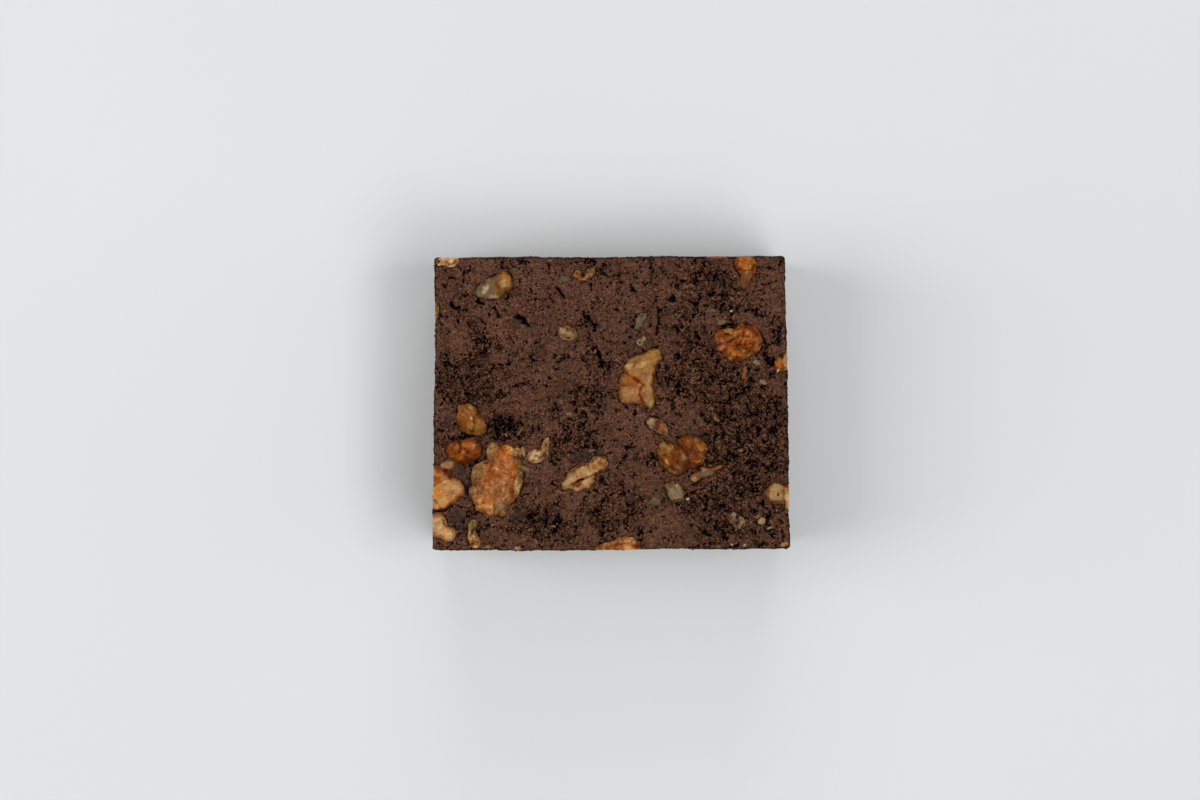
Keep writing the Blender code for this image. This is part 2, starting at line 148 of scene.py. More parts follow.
# Slits, holes and furrows in the top: the points each runs through, its width and its depth.
SLITS = [
    ([(-20.8, -5.2), (-19.4, -4.6), (-18.6, -3.6)], 1.7, 1.6),
    ([(-22.4, -4.6), (-20.5, -3.9)], 0.8, 0.8),
    ([(-5.1, 16.4), (-4.1, 15.6), (-3.2, 14.7)], 0.5, 0.9),
    ([(-29.6, 18.2), (-28.8, 17.7), (-27.9, 17.4)], 0.45, 0.7),
    ([(-17.3, 16.0), (-16.2, 15.3), (-15.3, 14.3)], 0.5, 0.8),
    ([(-31.2, 21.9), (-30.4, 21.5)], 0.4, 0.6),
    ([(-9.9, 21.2), (-9.3, 20.4), (-8.9, 19.7)], 0.4, 0.6),
    ([(-24.8, 18.9), (-23.8, 18.5)], 0.5, 0.6), ([(-27.2, 24.0), (-27.2, 22.3)], 0.3, 0.5),
    ([(-21.2, 17.0), (-20.8, 16.0)], 0.4, 0.5), ([(4.0, 21.0), (4.3, 20.8)], 0.55, 0.7),
    ([(8.7, 17.5), (8.9, 15.6), (8.3, 12.7)], 0.3, 0.55), ([(15.8, 22.9), (16.3, 22.7)], 0.4, 0.6),
    ([(12.8, 22.7), (13.2, 22.3)], 0.4, 0.5), ([(28.3, 9.3), (29.2, 8.2), (30.0, 7.3)], 0.75, 0.9),
    ([(20.6, 19.5), (20.0, 18.4), (19.3, 17.3)], 0.3, 0.5),
    ([(26.4, -16.5), (27.5, -16.1)], 0.75, 0.8), ([(20.5, -23.5), (21.0, -24.6)], 0.9, 0.9),
    ([(25.8, -2.2), (27.0, -2.0)], 0.6, 0.8),
    ([(22.2, -1.5), (22.1, -2.6), (21.7, -3.7)], 0.35, 0.6),
    ([(-2.9, 10.3), (-2.3, 8.9), (-1.6, 7.0)], 0.55, 0.9), ([(-1.6, 7.0), (0.6, 6.7)], 0.25, 0.5),
    ([(-11.9, -20.1), (-11.9, -22.1)], 0.5, 0.8),
    ([(20.1, 14.5), (21.6, 14.4), (23.0, 14.6)], 0.4, 0.8),
    ([(27.4, 13.4), (28.4, 11.4), (28.8, 9.6)], 0.35, 0.6),
    ([(-29.6, -6.6), (-27.6, -6.3), (-25.4, -5.9)], 0.5, 0.7),
    ([(-24.6, -10.4), (-25.4, -11.3), (-27.6, -12.0)], 0.4, 0.6),
    ([(-33.0, -20.1), (-31.0, -20.0), (-29.4, -18.9)], 0.35, 0.6),
    ([(-5.7, -14.2), (-4.7, -13.7)], 0.45, 0.8),
]

# Smooth dark lumps of melted chocolate: x, y, reach across and up, turn and rise.
LUMPS = [
    (-27.6, -13.4, 1.5, 1.9, 10, 0.3), (-28.6, -21.0, 1.4, 1.5, 0, 0.22),
    (-23.8, -10.3, 0.8, 0.9, 30, 0.25), (-5.6, -9.8, 2.6, 1.1, 15, 0.28),
    (4.0, -17.8, 1.6, 0.8, -15, 0.2), (-17.0, -20.9, 1.3, 1.3, 0, 0.2),
    (-30.2, -3.3, 1.1, 1.3, 0, 0.2), (-17.9, 14.6, 1.3, 1.1, -40, 0.18),
    (-13.4, -15.4, 0.8, 1.5, 0, 0.25), (15.6, -6.0, 1.5, 1.2, 20, 0.18),
]

# How each walnut piece looks: its own colour, how folded it is, the way its fine streaks run in
# degrees, the colour of its valleys, how speckled it is and how far crumb veils it. Then come its
# patches of colour (x, y, reach across and up, colour, turn, strength) and its creases (points,
# width, depth, colour). A few patches are painted highlights and painted reflections, and a few
# patches and creases are painted shade; each is marked where it stands.
NUTS = {
    "walnut_large": Nut((166, 114, 80), 0.42, 70, ORANGE, 0.1, 0.0, [
        (-22.2, -8.9, 1.2, 1.8, (146, 110, 76)), (-20.8, -9.6, 0.45, 1.7, (138, 88, 48)),
        (-19.5, -9.3, 1.2, 1.5, (178, 104, 48)), (-18.9, -7.9, 0.8, 0.4, (230, 164, 96)),
        (-20.7, -11.6, 1.6, 1.0, (166, 104, 62)), (-22.0, -13.6, 2.0, 1.3, (170, 104, 58), 10),
        # the small light patch at -21.2, -12.4 is a painted highlight
        (-22.9, -14.5, 1.3, 0.35, (160, 84, 34), 10), (-21.2, -12.4, 0.35, 0.3, (206, 160, 110)),
        (-24.7, -12.9, 1.2, 1.5, (134, 104, 76)), (-25.0, -15.7, 1.4, 0.8, (168, 132, 102), 10),
        (-22.9, -16.7, 1.5, 1.2, (164, 112, 72)), (-20.4, -16.0, 1.2, 1.7, (138, 88, 54)),
        (-22.4, -18.1, 1.0, 0.55, (176, 98, 38)), (-24.0, -18.7, 1.2, 0.9, (192, 136, 80)),
        (-23.4, -18.3, 0.3, 0.3, (150, 72, 24)), (-22.8, -20.0, 1.1, 0.6, (182, 122, 64)),
        # the thin light patch at -22.0, -19.3 is a painted highlight
        (-22.0, -19.3, 0.22, 0.8, (190, 150, 104)), (-20.2, -19.3, 1.3, 1.3, (146, 118, 88)),
        (-18.2, -13.4, 0.4, 2.6, (164, 84, 30)), (-18.3, -8.9, 0.3, 0.6, (198, 172, 120)),
        (-17.5, -9.8, 0.4, 0.9, (156, 124, 92)), (-16.9, -8.9, 0.5, 0.7, (192, 150, 112)),
        (-16.8, -12.2, 0.8, 2.2, (118, 84, 50)), (-17.2, -15.5, 0.5, 1.5, (180, 152, 116)),
    ], [
        ([(-23.5, -14.8), (-22.2, -13.8), (-20.3, -13.5)], 0.35, 0.12, ORANGE),
        ([(-17.9, -10.6), (-17.8, -13.8), (-18.3, -17.4)], 0.4, 0.2, (150, 68, 18)),
        ([(-26.0, -15.3), (-24.6, -14.9), (-23.6, -15.6)], 0.35, 0.1, ORANGE),
        ([(-21.5, -18.4), (-21.4, -19.6), (-21.6, -21.0)], 0.35, 0.18, (124, 84, 48)),
        ([(-17.9, -9.9), (-16.4, -10.2)], 0.35, 0.2, (110, 66, 34)),
    ]),
    "walnut_left_large": Nut((184, 132, 78), 0.12, 20, ORANGE, 0.2, 0.0, [
        (-31.8, -12.2, 1.1, 0.8, (132, 66, 34)), (-30.0, -13.1, 1.3, 0.9, (92, 46, 26)),
        (-32.1, -14.0, 0.9, 0.7, (154, 76, 26)), (-30.6, -12.4, 0.6, 0.5, (72, 26, 12)),
        (-29.6, -15.8, 2.4, 1.5, (178, 134, 84)), (-27.9, -15.6, 0.8, 1.0, (180, 140, 92)),
        (-32.3, -16.7, 0.9, 1.4, (192, 122, 50)), (-31.1, -17.7, 1.4, 1.2, (206, 156, 94)),
        (-31.6, -19.4, 1.2, 0.5, (226, 158, 84)), (-32.4, -18.1, 0.7, 0.2, MAUVE, -35, 0.8),
        (-32.9, -15.4, 0.3, 0.3, RUST), (-30.2, -17.0, 0.25, 0.2, RUST, 0, 0.7),
    ], [([(-32.3, -14.9), (-30.9, -14.3), (-29.4, -13.9)], 0.4, 0.22, (150, 80, 32))]),
    "walnut_left_block": Nut((188, 154, 108), 0.12, 0, TAN, 0.25, 0.0, [
        (-32.3, -20.7, 0.9, 0.5, TAN, 0, 0.7), (-30.3, -23.2, 0.9, 0.9, AMBER, 0, 0.45),
        (-31.0, -24.5, 1.6, 0.7, (198, 162, 108)),
    ], [([(-31.3, -21.4), (-30.6, -22.6), (-29.3, -23.0)], 0.3, 0.15, TAN)]),
    "walnut_round": Nut((142, 94, 46), 0.3, -45, RUST, 0.0, 0.05, [
        (-26.4, -1.3, 1.3, 1.0, (150, 102, 58)), (-28.0, -2.6, 0.7, 1.1, (142, 86, 32)),
        # the small pale patch at -25.7, -2.7 is a painted highlight
        (-25.7, -2.7, 0.3, 0.25, (226, 196, 172)), (-26.4, -3.3, 0.9, 0.14, (128, 72, 26), 40),
        (-27.5, -3.9, 0.8, 0.9, (130, 76, 22)), (-26.1, -4.7, 1.2, 0.6, (154, 104, 66)),
        (-24.0, -3.8, 0.8, 1.1, (150, 100, 64)), (-26.9, -2.4, 0.7, 0.16, (150, 98, 54), 40),
    ], [
        ([(-27.6, -1.3), (-26.4, -2.3), (-25.8, -3.4)], 0.28, 0.12, (112, 60, 22)),
        ([(-26.6, -0.9), (-25.6, -1.9)], 0.25, 0.1, (112, 60, 22)),
        ([(-28.3, -2.6), (-26.9, -3.6)], 0.25, 0.1, (112, 60, 22)),
        ([(-25.3, -2.6), (-25.1, -4.2), (-25.7, -5.6)], 0.35, 0.22, (104, 56, 22)),
    ]),
    "walnut_bean": Nut((128, 66, 24), 0.22, 10, RUST, 0.0, 0.0, [
        (-28.9, -7.9, 1.2, 0.7, (164, 94, 54)), (-26.4, -7.6, 1.4, 0.9, (170, 98, 52)),
        # the pale patches at -25.3, -8.0 and -27.1, -8.9 are painted reflections
        (-25.3, -8.0, 0.6, 0.7, (190, 130, 84)), (-27.1, -8.9, 0.7, 0.3, (198, 138, 92), 10),
        (-28.9, -10.0, 1.2, 0.5, (146, 78, 26), -25), (-26.7, -10.3, 1.4, 0.8, (130, 68, 10)),
        (-24.4, -8.8, 0.5, 1.2, (146, 76, 24)), (-30.3, -9.3, 0.5, 0.9, (116, 58, 20)),
    ], [
        ([(-27.9, -7.0), (-27.6, -8.0), (-27.8, -9.2)], 0.45, 0.3, (92, 44, 18)),
        ([(-26.9, -8.4), (-26.2, -9.4), (-25.2, -9.7)], 0.35, 0.2, (112, 56, 18)),
    ]),
    "walnut_pear": Nut((160, 132, 98), 0.0, 85, BROWN, 0.1, 0.0, [
        (-25.5, -22.0, 0.7, 1.5, (108, 88, 60)), (-26.2, -24.6, 0.5, 1.1, (206, 174, 150)),
        (-25.0, -23.8, 0.6, 1.2, (140, 118, 82)), (-25.2, -25.9, 1.2, 0.7, (176, 116, 60)),
        (-25.4, -26.6, 1.0, 0.25, (230, 190, 150)), (-25.5, -20.8, 0.3, 0.3, (190, 168, 140)),
        (-24.6, -22.9, 0.3, 0.9, (118, 84, 34), 10), (-25.7, -25.0, 0.2, 0.9, (150, 84, 44), 10),
    ], []),
    "walnut_crescent": Nut((184, 160, 122), 0.08, 60, TAN, 0.4, 0.0, [
        (-13.4, -8.6, 0.6, 0.6, (118, 74, 50)), (-12.0, -7.6, 0.5, 1.6, (170, 150, 116), -10),
        (-14.8, -11.0, 0.3, 0.3, (184, 92, 28)), (-15.1, -9.9, 0.6, 0.7, (190, 170, 130)),
        (-13.7, -9.9, 0.5, 0.4, (114, 66, 36), 0, 0.8), (-12.4, -10.4, 0.8, 0.4, (122, 98, 52), 35),
    ], []),
    "walnut_bar": Nut((186, 150, 108), 0.25, 36, RUST, 0.3, 0.0, [
        (-8.3, -15.1, 1.2, 0.7, (164, 138, 98), 40), (-7.1, -12.9, 1.4, 0.6, (138, 116, 82), 40),
        (-5.9, -11.8, 0.35, 0.3, (158, 84, 30)), (-4.5, -12.3, 1.0, 0.8, (176, 146, 92), 40),
        (-2.9, -11.7, 0.8, 0.6, (166, 104, 48), 20), (-1.6, -11.2, 0.9, 0.7, (136, 90, 50)),
        (-1.6, -9.9, 1.2, 0.45, (106, 84, 66)), (-6.3, -15.1, 1.1, 0.55, (124, 66, 30), 30),
        (-4.2, -14.9, 1.0, 0.6, (168, 140, 96), 35), (-5.5, -15.9, 1.0, 0.5, (154, 126, 90), 25),
        (-2.4, -13.5, 0.4, 1.1, (150, 138, 104), -30), (-3.6, -13.4, 0.9, 0.3, (170, 140, 86), 35),
        (-6.4, -13.7, 1.4, 0.4, (178, 142, 86), 38),
    ], [
        # these two near black creases are painted shade in the dark gaps of the piece
        ([(-6.1, -14.5), (-5.6, -14.3), (-5.1, -14.1)], 0.3, 0.6, (12, 8, 6)),
        ([(-2.7, -13.0), (-2.8, -13.9)], 0.3, 0.4, (24, 14, 10)),
        ([(-7.6, -15.3), (-6.3, -14.6), (-4.6, -13.9), (-3.0, -13.2)], 0.25, 0.2, (104, 62, 28)),
        ([(-4.3, -11.4), (-3.9, -12.6)], 0.25, 0.14, (136, 90, 44)),
    ]),
    "walnut_forked": Nut((148, 108, 62), 0.16, 25, ORANGE, 0.35, 0.0, [
        (4.4, 7.9, 1.2, 0.8, (134, 102, 62), 30), (3.3, 6.8, 0.8, 0.6, (160, 140, 100)),
        (5.8, 7.1, 1.3, 0.6, (190, 154, 98), 25), (8.4, 8.6, 1.1, 1.3, (152, 118, 64)),
        (5.6, 6.0, 1.5, 0.35, (152, 106, 54), 10), (6.0, 5.2, 0.7, 0.5, (132, 102, 66)),
        (7.2, 3.6, 0.6, 2.2, (156, 128, 82), -5), (7.2, 0.3, 0.8, 1.3, (152, 128, 84)),
        (7.4, 1.3, 0.4, 0.35, (142, 84, 34)), (3.7, 4.3, 1.6, 0.9, (156, 92, 46), -15),
        (7.6, 1.5, 0.35, 0.3, (156, 88, 36)), (4.4, 7.1, 0.2, 0.24, (116, 70, 40)),
        # the thin dark patch at 3.0, 3.3 is painted shade between the two lobes
        (3.0, 3.3, 1.4, 0.25, (120, 70, 34), -5, 0.6), (3.4, 1.7, 1.5, 1.1, (158, 112, 72)),
        (5.3, 2.2, 0.6, 1.5, (176, 128, 84)), (4.9, -0.1, 0.9, 0.5, (140, 120, 96)),
        (7.9, 5.2, 0.35, 1.1, (106, 50, 18)), (8.1, 2.6, 0.3, 1.2, (150, 84, 28)),
        (4.2, 6.6, 0.2, 0.2, BROWN),
    ], [

        ([(2.7, 5.6), (3.6, 5.0), (5.3, 4.0), (5.9, 3.4), (5.3, 1.6), (6.2, -0.6)],
         0.24, 0.24, (150, 62, 18)),
        # this shallow crease is painted shade between the two lobes
        ([(1.8, 3.2), (3.6, 3.2)], 0.25, 0.06, (124, 72, 36)),
    ]),
    "walnut_pip": Nut((144, 116, 82), 0.15, -35, ORANGE, 0.1, 0.1, [
        (7.2, -3.2, 0.9, 1.0, (142, 130, 98)), (8.7, -3.8, 0.6, 0.5, (130, 94, 54)),
        (9.6, -4.8, 1.1, 0.6, (168, 118, 68), -35), (8.6, -4.3, 0.22, 0.9, (134, 66, 18), 35),
        (9.9, -5.5, 0.8, 0.3, (120, 86, 60), -20), (7.9, -5.0, 0.6, 0.5, (126, 110, 82)),
    ], []),
    "walnut_heart": Nut((116, 68, 30), 0.4, -55, RUST, 0.05, 0.0, [
        # the light patch at 10.6, -8.8 is a painted highlight
        (9.7, -7.7, 0.9, 0.7, (150, 120, 84)), (10.6, -8.8, 0.5, 1.2, (160, 116, 70), 10),
        (9.4, -9.3, 0.4, 1.0, (138, 98, 54), 15), (10.6, -7.5, 0.35, 0.35, (124, 76, 38)),
        (11.1, -10.2, 1.0, 0.6, (146, 72, 8), -20), (11.8, -9.4, 0.35, 1.0, (120, 62, 12), 20),
        (13.1, -9.3, 0.9, 0.4, (128, 72, 26), -50), (14.5, -10.1, 0.7, 0.6, (106, 74, 70)),
        (13.0, -10.8, 1.0, 0.6, (106, 68, 42), -40), (10.3, -11.1, 0.35, 1.3, (170, 124, 78), 28),
        (11.4, -12.0, 1.0, 0.35, (92, 48, 14), -35), (11.6, -12.9, 1.2, 0.35, (152, 108, 72), -12),
        (12.8, -12.1, 0.9, 0.5, (120, 86, 60), -40), (14.1, -6.2, 1.3, 0.5, (124, 78, 32), -10),
        (13.1, -7.0, 0.8, 0.7, (118, 74, 48)), (13.8, -7.9, 0.3, 0.9, (112, 58, 24), 30),
        (14.5, -8.5, 0.5, 0.6, (106, 44, 8)), (15.8, -7.1, 0.8, 0.8, (156, 98, 56)),
        (16.7, -6.4, 0.9, 0.5, (112, 60, 14)), (17.3, -7.3, 0.45, 0.5, (170, 134, 92)),
        (16.4, -8.2, 0.9, 0.8, (166, 110, 58)), (15.5, -9.1, 0.9, 0.6, (108, 60, 36), -40),
        (16.8, -9.4, 0.6, 0.6, (124, 70, 34)), (17.3, -10.4, 0.25, 0.5, (192, 158, 106)),
        (15.8, -10.7, 0.9, 0.2, (172, 110, 54), 10), (15.9, -11.5, 0.8, 0.7, (84, 48, 46)),
    ], [
        ([(12.0, -7.2), (13.3, -8.5), (14.2, -9.4), (14.5, -11.6)], 0.45, 0.24, (66, 32, 14)),
        ([(11.4, -7.4), (12.3, -9.0), (12.4, -10.8)], 0.3, 0.1, (96, 52, 20)),
        ([(15.2, -6.2), (15.3, -8.0), (14.9, -9.0)], 0.3, 0.12, (100, 52, 18)),
        ([(9.0, -10.0), (10.4, -11.6), (12.0, -12.4)], 0.3, 0.14, (90, 46, 16)),
    ]),
    "walnut_tail": Nut((108, 84, 58), 0.2, 15, ORANGE, 0.2, 0.1, [
        (15.2, -14.2, 0.6, 0.5, (144, 114, 82), 40), (15.8, -13.1, 0.5, 0.7, (142, 76, 14)),
        (17.4, -13.1, 1.3, 0.7, (108, 94, 76), 12), (16.9, -12.3, 0.9, 0.3, (176, 120, 74), 12),
        (18.6, -12.5, 1.6, 0.35, (114, 78, 50), 16), (18.0, -13.9, 1.0, 0.25, (96, 58, 32), 14),
        (20.5, -11.8, 1.6, 0.5, (146, 92, 44), 16),
    ], []),
    "walnut_kite": Nut((126, 110, 84), 0.15, -60, TAN, 0.5, 0.1, [
        (12.2, -15.2, 0.3, 0.3, CREAM), (10.6, -14.6, 0.7, 0.4, (118, 94, 68), 0, 0.6),
        (12.0, -17.6, 0.6, 0.7, (134, 110, 76)),
    ], []),
    "walnut_front_arch": Nut((166, 120, 78), 0.4, 0, RUST, 0.25, 0.0, [
        (3.8, -25.3, 1.3, 0.6, (194, 152, 106), -10), (4.6, -26.4, 1.5, 0.5, (160, 92, 46), -20),
        (1.6, -26.2, 1.4, 0.5, (140, 62, 18), 10), (-1.2, -26.8, 1.6, 0.5, (160, 112, 70), 20),
    ], [([(-0.6, -26.4), (1.8, -26.0), (4.2, -26.2), (5.4, -26.8)], 0.35, 0.15, RUST)]),
    "walnut_wedge": Nut((114, 96, 74), 0.1, 80, (96, 74, 46), 0.1, 0.05, [
        (-23.5, 20.8, 0.5, 0.9, (180, 156, 120), -15),
        (-22.8, 21.6, 0.22, 0.6, (198, 178, 134), -15), (-24.7, 20.8, 0.7, 0.7, (98, 82, 58)),
        (-22.2, 22.3, 1.2, 0.8, (104, 88, 62), 25), (-21.3, 21.4, 0.5, 1.5, (124, 92, 54)),
        (-21.5, 19.5, 0.8, 0.5, (164, 144, 110), -25), (-20.7, 21.1, 0.45, 1.7, (112, 66, 22), 5),
        (-20.2, 23.9, 1.0, 0.5, (166, 112, 52), -35), (-19.6, 23.3, 1.3, 0.5, (150, 96, 44), -35),
        (-19.8, 22.2, 0.7, 1.0, (168, 132, 86)), (-18.8, 22.3, 0.4, 0.8, (164, 124, 62)),
        (-19.3, 20.8, 0.9, 0.6, (118, 76, 16), 55),
    ], []),
    "walnut_button": Nut((152, 134, 106), 0.1, 0, TAN, 0.15, 0.0, [
        (-7.9, 12.9, 1.1, 0.8, (146, 126, 88)), (-7.9, 11.6, 1.3, 0.4, (172, 146, 102)),
        (-9.1, 14.2, 0.9, 0.4, (112, 54, 14), -15), (-6.6, 11.6, 0.7, 0.3, (120, 66, 20), 20),
        (-6.5, 13.9, 0.5, 0.35, (128, 92, 54)), (-7.4, 13.6, 0.3, 0.2, (150, 106, 66), 0, 0.7),
    ], []),
    "walnut_curl": Nut((172, 130, 92), 0.35, -20, RUST, 0.2, 0.1, [
        (-5.6, 22.6, 1.1, 0.5, (166, 112, 60), -20), (-5.2, 24.0, 0.5, 0.5, UMBER),
        (-3.4, 24.6, 0.6, 0.9, (150, 132, 102)), (-3.6, 25.5, 0.4, 0.3, (200, 168, 128)),
        (-6.8, 23.5, 0.5, 0.5, (200, 152, 102)), (-4.4, 22.9, 0.5, 0.4, (184, 120, 62)),
    ], [([(-6.3, 23.9), (-5.2, 23.4), (-4.4, 24.2)], 0.4, 0.3, UMBER)]),
    "walnut_left_strip": Nut((160, 122, 76), 0.15, 90, TAN, 0.2, 0.0, [
        (-32.2, 15.3, 0.8, 0.7, (168, 114, 68), 0, 0.8), (-32.6, 17.8, 0.6, 0.7, (132, 112, 80)),
    ], []),
    "walnut_back_strip": Nut((214, 178, 130), 0.15, 0, TAN, 0.2, 0.0, [
        (-32.2, 26.4, 0.6, 0.7, AMBER), (-28.4, 25.9, 0.8, 0.6, (138, 104, 72)),
    ], []),
    "walnut_upper_flake": Nut((112, 98, 76), 0.12, 60, TAN, 0.0, 0.15, [
        (6.4, 16.1, 0.6, 0.6, (118, 106, 84)), (6.5, 14.8, 0.4, 0.3, (132, 84, 60)),
        (4.9, 14.4, 0.6, 0.9, (108, 92, 66)),
    ], []),
    "walnut_lower_flake": Nut((152, 142, 112), 0.12, 35, TAN, 0.0, 0.2, [
        (4.7, 10.7, 0.6, 0.4, OLIVE, 35), (6.7, 12.0, 0.4, 0.3, (138, 112, 84)),
    ], []),
    "walnut_wrinkled": Nut((162, 92, 46), 0.42, 40, (124, 58, 20), 0.0, 0.0, [
        (21.5, 13.4, 0.9, 0.45, (172, 138, 92)), (23.8, 14.3, 0.35, 0.6, (152, 132, 86)),
        (24.8, 14.0, 0.2, 0.5, (72, 38, 24), -30), (23.4, 12.5, 0.2, 0.9, (126, 84, 76), -40),
        (21.2, 10.7, 0.2, 1.3, (132, 92, 86), -30), (25.4, 13.1, 1.1, 1.1, (150, 78, 34)),
        (26.7, 12.1, 0.7, 0.8, (170, 106, 66)), (27.2, 10.8, 0.5, 0.7, (166, 130, 92)),
        (26.0, 10.2, 0.8, 0.6, (124, 68, 30)), (23.5, 11.4, 0.6, 0.5, (164, 90, 50)),
        (22.3, 12.2, 0.8, 0.3, (156, 100, 54)), (20.3, 12.3, 1.0, 0.5, (158, 88, 38), 20),
        (19.7, 13.3, 0.5, 0.4, (120, 56, 16)), (20.0, 11.3, 0.8, 0.3, (120, 86, 76), 35),
        (23.5, 10.6, 1.0, 0.2, (132, 56, 6)), (24.9, 11.1, 0.3, 0.8, (124, 52, 6)),
        # the small pale patch at 24.6, 9.6 is a painted highlight
        (22.5, 9.2, 1.2, 0.7, (166, 100, 54)), (24.6, 9.6, 0.22, 0.2, (196, 164, 140)),
        (21.6, 8.3, 0.9, 0.5, (166, 132, 86)), (23.5, 8.3, 0.8, 0.4, (142, 72, 22)),
        (25.7, 8.6, 1.2, 0.6, (158, 128, 84), 20),
    ], [
        ([(20.3, 13.5), (21.3, 12.8), (22.2, 12.5)], 0.3, 0.2, (110, 48, 10)),
        ([(24.4, 13.2), (24.5, 12.2), (23.9, 10.9), (22.8, 10.6)], 0.28, 0.22, (110, 48, 10)),
        ([(26.2, 13.5), (27.1, 12.7)], 0.25, 0.16, (104, 44, 10)),
        ([(25.5, 10.9), (26.8, 11.2)], 0.25, 0.14, (116, 54, 14)),
        ([(19.7, 10.6), (21.8, 11.2), (22.8, 12.0)], 0.28, 0.22, (98, 46, 16)),
        ([(20.9, 9.8), (21.2, 8.3)], 0.25, 0.16, (110, 50, 12)),
        ([(23.2, 9.5), (23.4, 7.8)], 0.25, 0.14, (124, 56, 14)),
        ([(22.0, 11.6), (22.6, 10.2), (23.6, 9.9), (25.2, 9.9)], 0.25, 0.16, (124, 56, 14)),
    ]),
    "walnut_right_sliver": Nut((158, 124, 78), 0.3, 80, TAN, 0.3, 0.0, [
        (30.9, 7.0, 0.6, 1.0, AMBER), (31.3, 8.4, 0.5, 0.8, (176, 112, 54), 0, 0.7),
        (32.5, 6.2, 0.5, 0.5, (206, 190, 160)), (32.6, 9.4, 0.5, 0.7, (150, 126, 92)),
    ], [([(31.6, 9.2), (31.7, 7.6), (31.9, 6.2)], 0.3, 0.2, AMBER)]),
    "walnut_tongue": Nut((148, 92, 52), 0.3, 84, RUST, 0.15, 0.1, [
        (24.9, 26.0, 2.2, 1.3, (178, 108, 46)), (25.6, 26.6, 0.6, 0.4, BUTTER),
        (25.0, 23.0, 1.1, 1.6, (126, 84, 56)), (24.7, 23.8, 0.5, 0.4, (170, 112, 70)),
        (25.1, 21.2, 0.8, 0.8, (98, 66, 48)), (26.2, 24.4, 0.3, 1.6, RUST, -8),
        (23.4, 25.6, 0.5, 1.2, ORANGE),
    ], [([(23.6, 24.8), (24.8, 24.5), (26.3, 25.0)], 0.3, 0.15, RUST)]),
    "walnut_right_knob": Nut((158, 126, 86), 0.15, 20, TAN, 0.2, 0.0, [
        (30.9, -17.0, 0.28, 0.25, UMBER), (30.2, -18.4, 1.2, 0.5, (114, 94, 62)),
        (32.7, -18.4, 0.5, 1.6, (190, 166, 124)), (32.5, -15.3, 0.5, 0.5, ORANGE),
        (29.4, -16.6, 0.6, 0.8, (170, 132, 86)),
    ], [([(32.0, -16.2), (31.9, -17.6), (32.2, -19.0)], 0.3, 0.22, TAN)]),
    "walnut_crumbly": Nut((150, 142, 116), 0.6, 0, BROWN, 0.6, 0.1, [
        (22.6, -21.0, 0.6, 0.5, (150, 136, 104)), (24.2, -21.5, 0.5, 0.4, (150, 132, 100)),
        (23.3, -23.0, 0.5, 0.4, (140, 122, 92)),
    ], [([(23.4, -20.6), (23.5, -22.0), (22.6, -22.6)], 0.4, 0.3, BROWN)]),
}

# The cut faces of the pieces that show at the sides.
SIDE_NUT = Nut((186, 148, 98), 0.15, 60, TAN, 0.3, 0.0, [], [])

# Small chips and flakes of nut in and on the crumb: x, y, length, width, turn and colour.
CHIPS = [
    (-30.3, -11.6, 2.4, 1.5, 10, (158, 120, 80)), (8.2, -18.2, 2.0, 1.5, 0, (92, 82, 70)),
    (27.9, -21.8, 1.3, 1.2, 0, (170, 142, 104)), (27.2, -21.0, 1.0, 0.8, 30, (120, 92, 66)),
    (-8.7, 22.8, 2.2, 1.2, 30, (92, 84, 72)), (32.1, -26.1, 1.3, 0.8, 20, (166, 120, 76)),
    (-17.2, -26.9, 1.2, 0.7, 0, (160, 128, 88)), (24.7, 5.6, 2.1, 0.7, 82, (150, 84, 44)),
    (26.9, 7.4, 1.4, 0.9, -20, (132, 118, 92)), (28.1, 3.9, 1.3, 0.8, -35, (142, 116, 84)),
    (19.5, -3.0, 1.4, 0.5, -35, (122, 98, 74)), (18.7, -1.0, 0.8, 0.6, 0, (112, 92, 70)),
    (24.0, -8.8, 0.9, 0.6, 0, (120, 100, 78)), (20.5, 14.9, 1.7, 0.8, 15, (106, 98, 78)),
    (18.8, 17.1, 1.2, 0.8, 0, (92, 80, 64)), (3.7, 25.5, 2.6, 0.45, 13, (130, 74, 40)),
    (-7.8, -2.0, 1.1, 0.6, 10, (134, 112, 88)), (-16.8, -5.3, 1.9, 0.45, 55, (110, 90, 66)),
    (0.8, -11.8, 1.6, 0.4, 45, (98, 86, 74)), (22.3, 17.0, 0.6, 0.45, 0, (180, 160, 134)),
    (22.4, -26.2, 0.6, 0.4, -30, (176, 152, 124)), (24.8, -26.3, 0.6, 0.4, 40, (176, 152, 124)),
    (29.4, -23.1, 1.1, 0.4, 25, (150, 136, 118)), (14.3, -17.8, 0.6, 0.5, 0, (184, 164, 136)),
    (-13.6, -15.6, 2.4, 1.1, 85, (96, 84, 78)), (-15.8, -12.2, 1.9, 0.9, -30, (118, 98, 72)),
    (-16.2, -9.0, 0.7, 1.8, 15, (158, 122, 78)), (-3.9, -8.9, 2.2, 0.6, 12, (92, 80, 68)),
    (-10.6, -22.8, 0.9, 0.4, 0, (130, 100, 72)), (-19.4, -5.9, 0.7, 0.4, -60, (150, 84, 40)),
    (-11.2, 26.4, 0.7, 0.3, 0, (140, 110, 80)), (19.5, 26.9, 3.6, 0.4, 0, (138, 76, 40)),
    (12.9, -11.9, 0.5, 0.4, 0, (120, 90, 66)), (-28.6, -21.2, 0.4, 0.4, 0, (36, 26, 26)),
    (-2.9, 9.5, 0.9, 0.5, 70, (106, 84, 64)), (-22.7, -26.6, 1.0, 0.5, 0, (150, 110, 76)),
    (31.0, 6.0, 0.8, 0.4, 60, (178, 158, 130)), (12.0, 16.4, 0.5, 0.4, 0, (112, 88, 66)),
    (-27.0, 9.3, 0.6, 0.5, 0, (112, 58, 32)), (-25.6, 8.4, 0.7, 0.5, 30, (118, 62, 34)),
]


